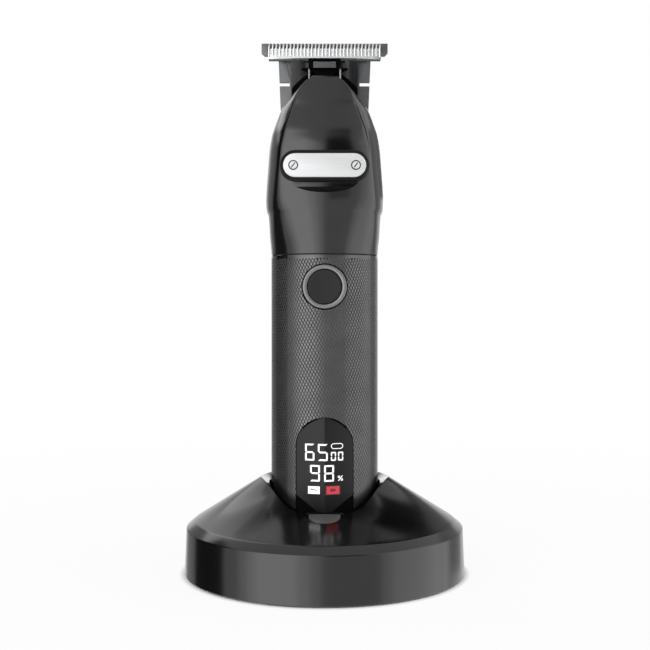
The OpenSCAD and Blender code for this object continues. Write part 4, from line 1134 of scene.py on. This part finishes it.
def headHalf(z, wall, face):
    # right half of the outline: face, rounded edge, flank back to the middle, then the rear
    share = min(1, max(0, (z - seamZ) / (headTop - seamZ)))
    bulge, narrow, frontFall, crown, backFall, flank, edge = stationAt(share)
    face = wall + (face - wall) * min(1, share / 0.3)
    whole = head["noseHalf"] + (gripR + head["bulge"] * bulge - head["noseHalf"]) * (1 - narrow)
    w = whole - wall
    f = head["noseFront"] + (gripR + head["belly"] * bulge - head["noseFront"]) * (1 - frontFall) - face
    b = head["backTop"] + (gripR - head["backTop"]) * (1 - backFall) - wall
    flank = min(flank, w * 0.4)
    e = w - flank
    seamEdge = gripR - headStations[0][6]
    rise = min((gripR - math.sqrt(gripR ** 2 - seamEdge ** 2)) * crown * w / whole, f * 0.6)
    faceR, edgeY = bow(e, rise), f - rise
    flankR = bow(edgeY, flank)

    def onFace(x):
        return x, -(f - faceR + math.sqrt(faceR * faceR - x * x))

    def onFlank(y):
        return w - flankR + math.sqrt(flankR * flankR - y * y), -y

    edge = min(edge, flank * 0.85, e * 0.26)
    front = [onFace((e - edge) * i / 22) for i in range(23)]
    start, corner, end = Vector(front[-1]), Vector((e, -edgeY)), Vector(onFlank(edgeY - edge))
    turn = [tuple(start.lerp(corner, t).lerp(corner.lerp(end, t), t)) for t in (i / 9 for i in range(1, 9))]
    split = -head["split"]
    side = [onFlank(edgeY - edge + (split - edgeY + edge) * i / 16) for i in range(17)]
    rear = [onFlank(split - 0.1 - (split - 0.1) * i / 4) for i in range(4)]
    rear += [(w * math.cos(math.radians(90 * i / 28)), b * math.sin(math.radians(90 * i / 28)))
        for i in range(29)]
    return front + turn + side, rear


def halfShell(name, part, low, high):
    # a wall between outer and inner outlines, open along the split
    levels = head["levels"]
    heights = [low + (high - low) * i / levels for i in range(levels + 1)]
    points, faces, size = [], [], 0
    for z in heights:
        outlines = []
        for wall, face in ((0, 0), (head["wall"], head["faceWall"])):
            half = headHalf(z, wall, face)[part]
            if part == 0:
                outline = [(-x, y) for x, y in reversed(half[1:])] + half
            else:
                outline = half + [(-x, y) for x, y in reversed(half[:-1])]
            outlines.append(outline)
        ring = outlines[0] + outlines[1][::-1]
        size = len(ring)
        points += [(x, y, z) for x, y in ring]
    for i in range(levels):
        for j in range(size):
            k = (j + 1) % size
            faces.append((i * size + j, i * size + k, (i + 1) * size + k, (i + 1) * size + j))
    for start in (0, levels * size):
        for j in range(size // 2 - 1):
            faces.append((start + j, start + j + 1, start + size - 2 - j, start + size - 1 - j))
    return makePiece(name, points, faces, 28)


def stadiumRings(width, height, middle, stops):
    # stadium outlines along Y, each drawn in by its inset
    return [[(x, y, middle + z) for x, z in stadium(width - 2 * inset, height - 2 * inset)]
        for inset, y in stops]


bezelLow, bezelHigh = nodeBox("plate_bezel")
plateLow, plateHigh = nodeBox("name_plate")
plateZ = (bezelLow.z + bezelHigh.z) / 2
bezelW, bezelH = bezelHigh.x - bezelLow.x, bezelHigh.z - bezelLow.z


def makeHead():
    side = 40  # further out than the head reaches
    shell = halfShell("headFrontShell", 0, frontLow.z, headTop)
    visor = block((-side, head["visor"], headTop - head["visorHeight"]), (side, side, headTop + 2))
    slot = makePiece("slot", *skin(stadiumRings(bezelW + 0.2, bezelH + 0.2, plateZ,
        [(0, bezelLow.y - 4), (0, bezelHigh.y + 0.3)])))
    # the step under the bezel, a hollow that runs out downwards
    belly, high, fall = -(gripR + head["belly"]), bezelLow.z, head["scoopHeight"]
    wedge = [(belly - 2, high - fall - 3)]
    for i in range(11):
        turn = math.radians(9 * i)
        wedge.append((belly - 0.05 + head["scoopDepth"] * math.sin(turn) ** 2, high - fall * math.cos(turn)))
    wedge.append((belly - 2, high))
    scoop = makePiece("scoop", *skin([[(x, y, z) for y, z in wedge] for x in (-side, side)]))
    shell = cutAway(shell, visor, slot, scoop, degrees=28)
    dress(shell, "head_black", "clipper", "head_front_shell")
    fixedLow = nodeBox("fixed_blade")[0]
    ledge = fixedLow.z - head["ledge"]
    rear = halfShell("headRearShell", 1, rearLow.z, rearHigh.z)
    notch = block((-side, fixedLow.y - 0.15, ledge), (side, side, headTop))
    rear = cutAway(rear, notch, degrees=28)
    shelf = [(x, y) for x, y in headHalf(ledge, head["wall"] - 0.3, 1)[1] if y > fixedLow.y + 0.1]
    shelf = shelf + [(-x, y) for x, y in reversed(shelf[:-1])]
    plate = makePiece("shelf", *skin([[(x, y, z) for x, y in shelf] for z in (ledge - head["shelf"], ledge)]))
    rear = joined("headRearShell", [rear, plate])
    dress(rear, "head_black", "clipper", "head_rear_shell")


def makeCreaseShades():
    # painted shade: fine dark strips along the rounded edges where the face panel meets the flanks, thinner
    # towards their ends and wider on the left
    steps, taper, corner = 60, 22, 27  # corner is the outline's point in the middle of the rounded edge
    for name, side, low, high, half in (("creaseShadeLeft", -1, 0.34, 0.88, 0.4), ("creaseShadeRight", 1, 0.56, 0.88, 0.2)):
        rings = []
        for i in range(steps + 1):
            share = low + (high - low) * i / steps
            z = seamZ + (headTop - seamZ) * share
            front = headHalf(z, 0, 0)[0]
            along = (Vector(front[corner + 2]) - Vector(front[corner - 2])).normalized()
            out = Vector((along.y, -along.x))
            middle, wide = Vector(front[corner]), 0.03 + half * min(1, i / taper, (steps - i) / taper)
            strip = ((-1, -0.15), (-0.9, 0.02), (0.9, 0.02), (1, -0.15))
            ring = [middle + along * wide * a + out * b for a, b in strip]
            rings.append([(side * p.x, p.y, z) for p in ring])
        shadeStrip(name, rings, "head_black")


plateSlot = {"turn": 0.9, "half": 0.95, "side": 0.17}


def makeNamePlate():
    y = bezelLow.y
    stops = [(0, bezelHigh.y), (0, y + 0.5), (0.04, y + 0.26), (0.12, y + 0.1), (0.24, y + 0.03),
        (0.32, y + 0.08), (0.38, y + 0.42), (0.52, y + 0.42), (0.56, y + 0.06), (0.64, y), (0.72, y + 0.05),
        (0.78, y + 0.6), (1.0, y + 0.6), (1.0, plateHigh.y)]
    bezel = makePiece("plateBezel", *skin(stadiumRings(bezelW, bezelH, plateZ, stops)), 40)
    dress(bezel, "bezel_black", "clipper", "plate_bezel", material=bezelDark)
    y = plateLow.y
    stops = [(0, plateHigh.y), (0, y + 0.24), (0.04, y + 0.12), (0.12, y + 0.04), (0.26, y)]
    rings = stadiumRings(plateHigh.x - plateLow.x, plateHigh.z - plateLow.z, plateZ, stops)
    plate = makePiece("namePlate", *skin(rings), 40)
    dress(plate, "plate_silver", "clipper", "name_plate")
    across = nodeBox("plate_screws")[1].x - 1.4
    pair = (-across, across)
    screwSet("plateScrews", [(x, y - 0.02, plateZ) for x in pair], forward, (1.22, 0.28), 0.7, 4, "clipper",
        "plate_screws", 1, plateSlot["turn"], finishes["plate_silver"])
    # painted shade: black rings in the gaps round the screw heads and black floors in their slots
    well = [(1.24, y + 0.02), (1.24, y - 0.03), (1.56, y - 0.03), (1.56, y + 0.02)]
    dark = [revolve("well", well, 64, "Y", (x, 0, plateZ)) for x in pair]
    c, s = math.cos(plateSlot["turn"]), math.sin(plateSlot["turn"])
    for x in pair:
        floor = box(-plateSlot["half"], plateSlot["half"], -plateSlot["side"], plateSlot["side"])
        floor = [(x + p * c - q * s, plateZ + p * s + q * c) for p, q in floor]
        dark.append(prismY("slotFloor", floor, y - 0.24, y - 0.1))
    dress(joined("screwWells", dark), "bezel_black", "clipper", material=gapBlack)


makeHead()
makeCreaseShades()
makeNamePlate()
print("head made")


# the blades

blade = {"teeth": 32, "tooth": 0.62, "gap": 1.8, "grooves": 4.4, "groove": 0.38, "bow": 0.35, "foot": 2.2,
    "tongueHalf": 4.8}
cutLow, cutHigh = nodeBox("moving_blade")


def rowTree():
    maker, given = geometryTree("toothRow", {"Count": "Int", "Pitch": "Float", "Material": "Material"})
    step = maker.vector(X=given.out("Pitch"))
    count = given.out("Count")
    start = maker.vector(X=(count - 1) * given.out("Pitch") * -0.5)
    line = maker.add("GeometryNodeMeshLine", {"mode": "OFFSET"}, {"Count": count, "Start Location": start,
        "Offset": step})
    placed = maker.spread(line, given)
    return closeTree(maker, placed, given.out("Material"))


def makeCutter():
    half, y0, y1, top = cutHigh.x, cutLow.y, cutHigh.y, cutHigh.z
    b = blade
    low = cutLow.z + b["foot"]
    rootZ, grooveZ = top - b["gap"], top - b["grooves"]
    rings = []
    for i in range(25):
        x = half * (i / 12 - 1)
        inset = 0.12 if i in (0, 24) else 0.0
        foot = low + b["bow"] * (1 - (x / half) ** 2)
        rings.append([(x, y0 + inset + 0.1, foot), (x, y0 + inset, foot + 0.12),
            (x, y0 + inset, grooveZ - 0.3), (x, y0 + b["groove"] * 0.4, grooveZ + 0.6),
            (x, y0 + b["groove"], grooveZ + 1.6), (x, y0 + b["groove"], rootZ - 0.15),
            (x, y0 + b["groove"] + 0.2, rootZ), (x, y1 - inset, rootZ), (x, y1 - inset, foot + 0.1),
            (x, y1 - inset - 0.1, foot)])
    plate = makePiece("plate", *skin(rings), 25)
    tongue = block((-b["tongueHalf"], y0 + 0.05, cutLow.z), (b["tongueHalf"], y1, low + b["bow"] + 0.3))
    # painted shadow: a dark grey strip along the cutter's lower edge
    edge = rounded(block((-half + 0.2, y0 + 0.12, low - 0.45), (half - 0.2, y1 - 0.3, low + 0.2)), 0.08, 2)
    edge.name = "cutterEdgeShade"
    dress(edge, "bezel_black", "cutter", material=edgeGrey)
    dress(joined("cutterPlate", [plate, rounded(tongue, 0.2, 2)]), "cutter_steel", "cutter", "moving_blade")
    levels = [(grooveZ - 0.4, 0.02, 0.36), (grooveZ, 0.0, 0.34), (rootZ - 0.6, 0.0, 0.32),
        (rootZ + 0.1, 0.02, 0.31), (top - 0.95, 0.2, 0.29), (top - 0.45, 0.62, 0.25),
        (top - 0.14, 0.96, 0.19), (top, 1.16, 0.1)]
    rings = []
    for z, back, h in levels:
        y = y0 + back
        rings.append([(-h, y1, z), (-h, y + 0.16, z), (-h * 0.78, y + 0.04, z), (-h * 0.4, y, z),
            (h * 0.4, y, z), (h * 0.78, y + 0.04, z), (h, y + 0.16, z), (h, y1, z)])
    points, faces = skin(rings)
    pitch = (2 * half - b["tooth"]) / (b["teeth"] - 1)
    teeth = grow("cutterTeeth", rowTree(), {"Count": b["teeth"], "Pitch": pitch * mm,
        "Material": finishes["cutter_steel"]}, points, faces)
    tidy(teeth.data, 35)
    dress(teeth, "cutter_steel", "cutter")


def springTree():
    # a close coil along X with its leg, which comes in as a line of points
    maker, given = geometryTree("spring", {"Coil radius": "Float", "Wire radius": "Float", "Turns": "Float",
        "Length": "Float", "Centre": "Vector", "Material": "Material"})
    wire = maker.add("GeometryNodeCurvePrimitiveCircle", {"mode": "RADIUS"}, {"Resolution": 12,
        "Radius": given.out("Wire radius")})
    spiral = maker.add("GeometryNodeCurveSpiral", {}, {"Resolution": 36, "Rotations": given.out("Turns"),
        "Start Radius": given.out("Coil radius"), "End Radius": given.out("Coil radius"),
        "Height": given.out("Length")})
    spiral = maker.moved(spiral, Rotation=(0, 0, -math.pi / 2))
    spiral = maker.moved(spiral, Rotation=(0, math.pi / 2, 0), Translation=given.out("Centre"))
    leg = maker.add("GeometryNodeMeshToCurve", {}, {0: given})
    leg = maker.add("GeometryNodeFilletCurve", {}, {"Curve": leg, "Radius": given.out("Wire radius") * 2.2})
    both = maker.add("GeometryNodeJoinGeometry", {}, {0: [spiral, leg]})
    body = maker.add("GeometryNodeCurveToMesh", {}, {"Curve": both, "Profile Curve": wire, "Fill Caps": True})
    return closeTree(maker, body, given.out("Material"))


spring = {"wire": 0.3, "coil": 1.65, "leg": 5.15, "legFall": 1.95, "turns": 2.5}


def makeSpring():
    high = nodeBox("blade_spring")[1]
    pinLow, pinHigh = nodeBox("spring_pins")
    wire, coil, legX = spring["wire"], spring["coil"], spring["leg"]
    y, z = (pinLow.y + pinHigh.y) / 2, (pinLow.z + pinHigh.z) / 2
    tree = springTree()
    parts = []
    top = high.z - spring["legFall"]
    for side in (-1, 1):
        leg = [(side * legX, y - coil, z), (side * legX, y - coil, top), (side * legX, y - 0.6, top)]
        start = legX if side > 0 else wire - high.x
        values = {"Coil radius": coil * mm, "Wire radius": wire * mm, "Turns": spring["turns"],
            "Length": (high.x - wire - legX) * mm, "Centre": (start * mm, y * mm, z * mm),
            "Material": springWire}
        parts.append(grow("coil", tree, values, leg, (), ((0, 1), (1, 2))))
    piece = joined("bladeSpring", parts)
    tidy(piece.data, 40)
    dress(piece, "screw_steel", "clipper", "blade_spring", material=springWire)


noseShade = {"front": 0.66, "back": 0.8, "from": 0.8, "steps": 12, "spread": 0.95, "half": 11.0, "top": 167.9,
    "topHalf": 7.6, "middle": 90.7, "larger": 1 / 362}


def makeNoseShade():
    # painted shadow: a thin black band on the bracket round the nose, the nose's outline a little larger and
    # spread by an even margin
    s = noseShade
    scale = 1.0 + (head["noseFront"] + 0.6) * s["larger"]
    outline = []
    for i in range(s["steps"] + 1):
        share = s["from"] + (1 - s["from"]) * i / s["steps"]
        z = seamZ + (headTop - seamZ) * share
        narrow = stationAt(share)[1]
        half = head["noseHalf"] + (gripR + head["bulge"] - head["noseHalf"]) * (1 - narrow)
        outline.append((half * scale, s["middle"] + (z - s["middle"]) * scale))
    right = []
    for i, (x, z) in enumerate(outline):
        a, b = outline[max(0, i - 1)], outline[min(len(outline) - 1, i + 1)]
        across = Vector((b[1] - a[1], a[0] - b[0])).normalized() * s["spread"]
        if z + across.y < s["top"] - 0.4:
            right.append((min(x + across.x, s["half"]), z + across.y))
    right += [(s["topHalf"] + 0.3, s["top"] - 0.4), (s["topHalf"], s["top"])]
    low = right[0][1]
    shape = [(x, max(z, low)) for x, z in [(-x, z) for x, z in reversed(right)] + right]
    return prismY("noseShadeBand", shape, s["front"], s["back"])


carrier = {"face": 3.3, "barHalf": 3.85, "barLow": 167.25, "barHigh": 169.45, "slack": 0.05, "rivets": 3,
    "rivetR": 0.5, "rivetZ": 169.0, "rivetBack": 3.2}


def makeCarrier():
    # stalk and foot, near black as painted shadow, and the bar that holds the cutter
    c = carrier
    low = nodeBox("blade_carrier")[0].y
    front, side = low + c["face"], 9
    foot = cutAway(softened("blade_carrier", "bladeCarrier", 0.15),
        block((-side, front - 5, headTop + 0.2), (side, front + 0.6, c["barLow"] - c["slack"])),
        block((-side, front - 5, c["barHigh"] + c["slack"]), (side, front + 1.2, 172)))
    dress(foot, "inner_plastic", "cutter", "blade_carrier", material=gapBlack)
    bar = block((-c["barHalf"], front - 0.02, c["barLow"]), (c["barHalf"], front + 0.4, c["barHigh"]))
    bar = rounded(bar, 0.18, 3)
    bar.name = "carrierBar"
    dress(bar, "inner_plastic", "cutter")
    r, back = c["rivetR"], c["rivetBack"]
    profile = [(0, front - 0.1), (r - 0.1, front - 0.08), (r, front), (r, back), (0, back)]
    rivets = [revolve("rivet", profile, 32, "Y", (x, 0, c["rivetZ"])) for x in (-c["rivets"], c["rivets"])]
    rivets = joined("carrierRivets", rivets)
    dress(rivets, "screw_steel", "cutter", "carrier_rivets", material=finishes["inner_plastic"])


def makeBlades():
    dress(softened("fixed_blade", "fixedBlade", 0.09, 2, 25), "blade_steel", "clipper", "fixed_blade")
    makeCutter()
    arms = [softened("blade_bracket", "bladeBracket", 0.15)]
    high = nodeBox("blade_bracket")[1]
    half, reach, front, back = 1.6, high.x - 1.62, 0.82, 3.5  # square corners at the arms' tops
    for x in (-reach, reach):
        corner = block((x - half, front, high.z - 2 * half), (x + half, back, high.z - 0.02))
        arms.append(rounded(corner, 0.2, 2))
    dress(joined("bladeBracket", arms), "bracket_black", "clipper", "blade_bracket")
    dress(makeNoseShade(), "bezel_black", "clipper", material=gapBlack)
    makeCarrier()
    low, high = nodeBox("blade_screws")
    x, z = high.x - 2.2, (low.z + high.z) / 2
    screwSet("bladeScrews", [(-x, high.y - 1.1, z), (x, high.y - 1.1, z)], backward, (2.2, 1.1), 1.0, 4.2,
        "clipper", "blade_screws")
    dress(softened("spring_pins", "springPins", 0.12), "screw_steel", "clipper", "spring_pins")
    makeSpring()


makeBlades()
print("blades made")


# the pieces inside and between

def makeFasteners():
    low, high = nodeBox("dock_screws")
    r = high.x - 2.1
    corners = [(sx * r, sy * r, low.z + 0.8) for sx in (-1, 1) for sy in (-1, 1)]
    screwSet("dockScrews", corners, downward, (2.1, 0.8), 1.0, high.z - low.z - 0.8, "dock", "dock_screws")
    low, high = nodeBox("cap_screws")
    pair = [(sx * (high.x - 2), (low.y + high.y) / 2, low.z + 1.5) for sx in (-1, 1)]
    screwSet("capScrews", pair, downward, (2.0, 1.5), 1.0, high.z - low.z - 1.5, "clipper", "cap_screws")
    low, high = nodeBox("motor_screws")
    pair = [(sx * (high.x - 1.4), (low.y + high.y) / 2, high.z - 0.9) for sx in (-1, 1)]
    screwSet("motorScrews", pair, upward, (1.4, 0.9), 0.75, high.z - 0.9 - low.z, "clipper", "motor_screws")


def makeSeamRing():
    low, high = nodeBox("seam_ring")
    bore, reach = 15.92, high.x
    profile = [(bore, low.z), (reach, low.z), (reach, high.z), (bore, high.z)]
    dress(revolve("seamRing", profile, 160), recordSlots["seam_ring"], "clipper", "seam_ring")


recordSlots = {part["node"]: part["material_slot"] for part in frame["record"]["subparts"]}
makeFasteners()
makeSeamRing()
for nodeName, node in nodes.items():
    node.data.materials.clear()
    node.data.materials.append(finishes[recordSlots[nodeName]])
print("inner pieces finished")


# floor, light and camera

studio = {"floor": 3.0, "floorWhite": 0.9, "floorGlow": 0.92, "ambient": 0.5, "middle": 0.09,
    "distance": 0.37, "lens": 61.28, "shiftX": 0.0006, "shiftY": -0.0407, "cameraHeight": 0.0907,
    "fadeFrom": 0.06, "fadeTo": 0.4, "boxRise": (-38, 46)}


def paper(name, white, glow):
    # matt paper whose soft shadow shows near the object and fades into the backdrop further out
    f = Finish(name)
    tone = f.blend(f.noise(8, 2), shade(white, 0.99), white)
    matt = f.add("ShaderNodeBsdfDiffuse", {}, {"Color": tone})
    light = f.add("ShaderNodeEmission", {}, {"Color": (1, 1, 1, 1), "Strength": 1.0})
    away = f.add("ShaderNodeVectorMath", {"operation": "LENGTH"}, {0: f.place}, "Value")
    edge = f.between(away, dockR * mm * 0.99, dockR * mm * 1.04, 0.0, glow)
    far = f.between(away, studio["fadeFrom"], studio["fadeTo"], 0.0, 1 - glow)
    rays = f.add("ShaderNodeLightPath")
    mixed = f.add("ShaderNodeMixShader", {}, {0: rays * (edge + far), 1: matt, 2: light})
    f.add("ShaderNodeOutputMaterial", {}, {"Surface": mixed})
    return f.material


def makeFloor():
    r = studio["floor"] / mm
    points = [(r * math.cos(2 * math.pi * i / 96), r * math.sin(2 * math.pi * i / 96), 0) for i in range(96)]
    floor = makePiece("floor", points, [tuple(range(96))])
    floor.data.materials.append(paper("floorPaper", studio["floorWhite"], studio["floorGlow"]))
    floor.visible_glossy = False
    floor.visible_shadow = False


def panel(span, rise, distance):
    # an upright rectangle that fills a span of directions in degrees, seen from the object's middle
    turn = math.radians((span[0] + span[1]) / 2)
    width = 2 * distance * math.tan(math.radians(span[1] - span[0]) / 2)
    low, high = (studio["middle"] + distance * math.tan(math.radians(r)) for r in rise)
    out, across = Vector((math.sin(turn), -math.cos(turn), 0)), Vector((math.cos(turn), math.sin(turn), 0))
    return out, across, width, low, high


def makeCard(name, span, rise, tone, distance=0.7):
    # dark card beside the object, seen only in reflections
    out, across, width, low, high = panel(span, rise, distance)
    corners = [(out * distance + across * x + Vector((0, 0, z))) / mm
        for x, z in box(-width / 2, width / 2, low, high)]
    card = makePiece(name, corners, [(0, 1, 2, 3)])
    f = Finish(name)
    dark = f.blend(f.noise(3), tone * 0.97, tone)
    glow = f.add("ShaderNodeEmission", {}, {"Color": dark, "Strength": 1.0})
    f.add("ShaderNodeOutputMaterial", {}, {"Surface": glow})
    card.data.materials.append(f.material)
    card.visible_camera = False
    card.visible_shadow = False
    card.visible_diffuse = False


def makeLight(name, span, rise, radiance, distance=0.9):
    # upright softbox facing the object's axis
    out, _, width, low, high = panel(span, rise, distance)
    lamp = bpy.data.lights.new(name, "AREA")
    lamp.shape = "RECTANGLE"
    lamp.size, lamp.size_y = width, high - low
    lamp.energy = radiance * math.pi * width * (high - low)
    holder = bpy.data.objects.new(name, lamp)
    bpy.context.scene.collection.objects.link(holder)
    holder.location = out * distance + Vector((0, 0, (low + high) / 2))
    holder.rotation_euler = (-out).to_track_quat("-Z", "Y").to_euler()


def makeWorld():
    world = bpy.data.worlds.new("studio")
    world.use_nodes = True
    maker = Nodes(world.node_tree)
    maker.tree.nodes.clear()
    rays = maker.add("ShaderNodeLightPath")
    seen = rays.math("MAXIMUM", rays, rays.out("Is Glossy Ray"))
    seen = rays.math("MAXIMUM", seen, rays.out("Is Transmission Ray"))
    strength = seen * (1 - studio["ambient"]) + studio["ambient"]
    light = maker.add("ShaderNodeBackground", {}, {"Color": (1, 1, 1, 1), "Strength": strength})
    maker.add("ShaderNodeOutputWorld", {}, {"Surface": light})
    bpy.context.scene.world = world


def makeCamera():
    lens = bpy.data.cameras.new("camera")
    lens.lens = studio["lens"]
    lens.sensor_width = 36.0
    lens.shift_x = studio["shiftX"]
    lens.shift_y = studio["shiftY"]
    lens.clip_start = 0.01
    camera = bpy.data.objects.new("camera", lens)
    bpy.context.scene.collection.objects.link(camera)
    camera.location = (0, -studio["distance"], studio["cameraHeight"])
    camera.rotation_euler = (math.pi / 2, 0, 0)
    bpy.context.scene.camera = camera


makeFloor()
for name, span, radiance in (("leftWide", (-71, -2), 0.76), ("leftMiddle", (-63, -11), 0.76),
        ("leftCore", (-55, -21), 0.76), ("rightWide", (45, 116), 0.72), ("rightCore", (54, 103), 0.5)):
    makeLight(name, span, studio["boxRise"], radiance)
makeLight("rearLeft", (-153, -126), (24, 60), 1.15)
makeLight("rearStrip", (168, 192), (4, 20), 1.6)
for name, span, rise, *rest in (("sideCard", (-127, -86), (-40, 40), 0.02),
        ("rearLow", (-152, -127), (-30, 22), 0.42), ("frontCard", (1, 35), (14, 49), 0.0, 0.8),
        ("frontShade", (5, 31), (5, 14), 0.35, 0.8), ("rearCard", (146, 184), (27, 66), 0.0),
        ("rearEdge", (144, 168), (8, 27), 0.28), ("rearShade", (184, 198), (22, 62), 0.5),
        ("sideShade", (119, 144), (-20, 27), 0.5)):
    makeCard(name, span, rise, *rest)
makeWorld()
makeCamera()
bpy.context.scene.view_settings.view_transform = "Standard"
print("studio made")
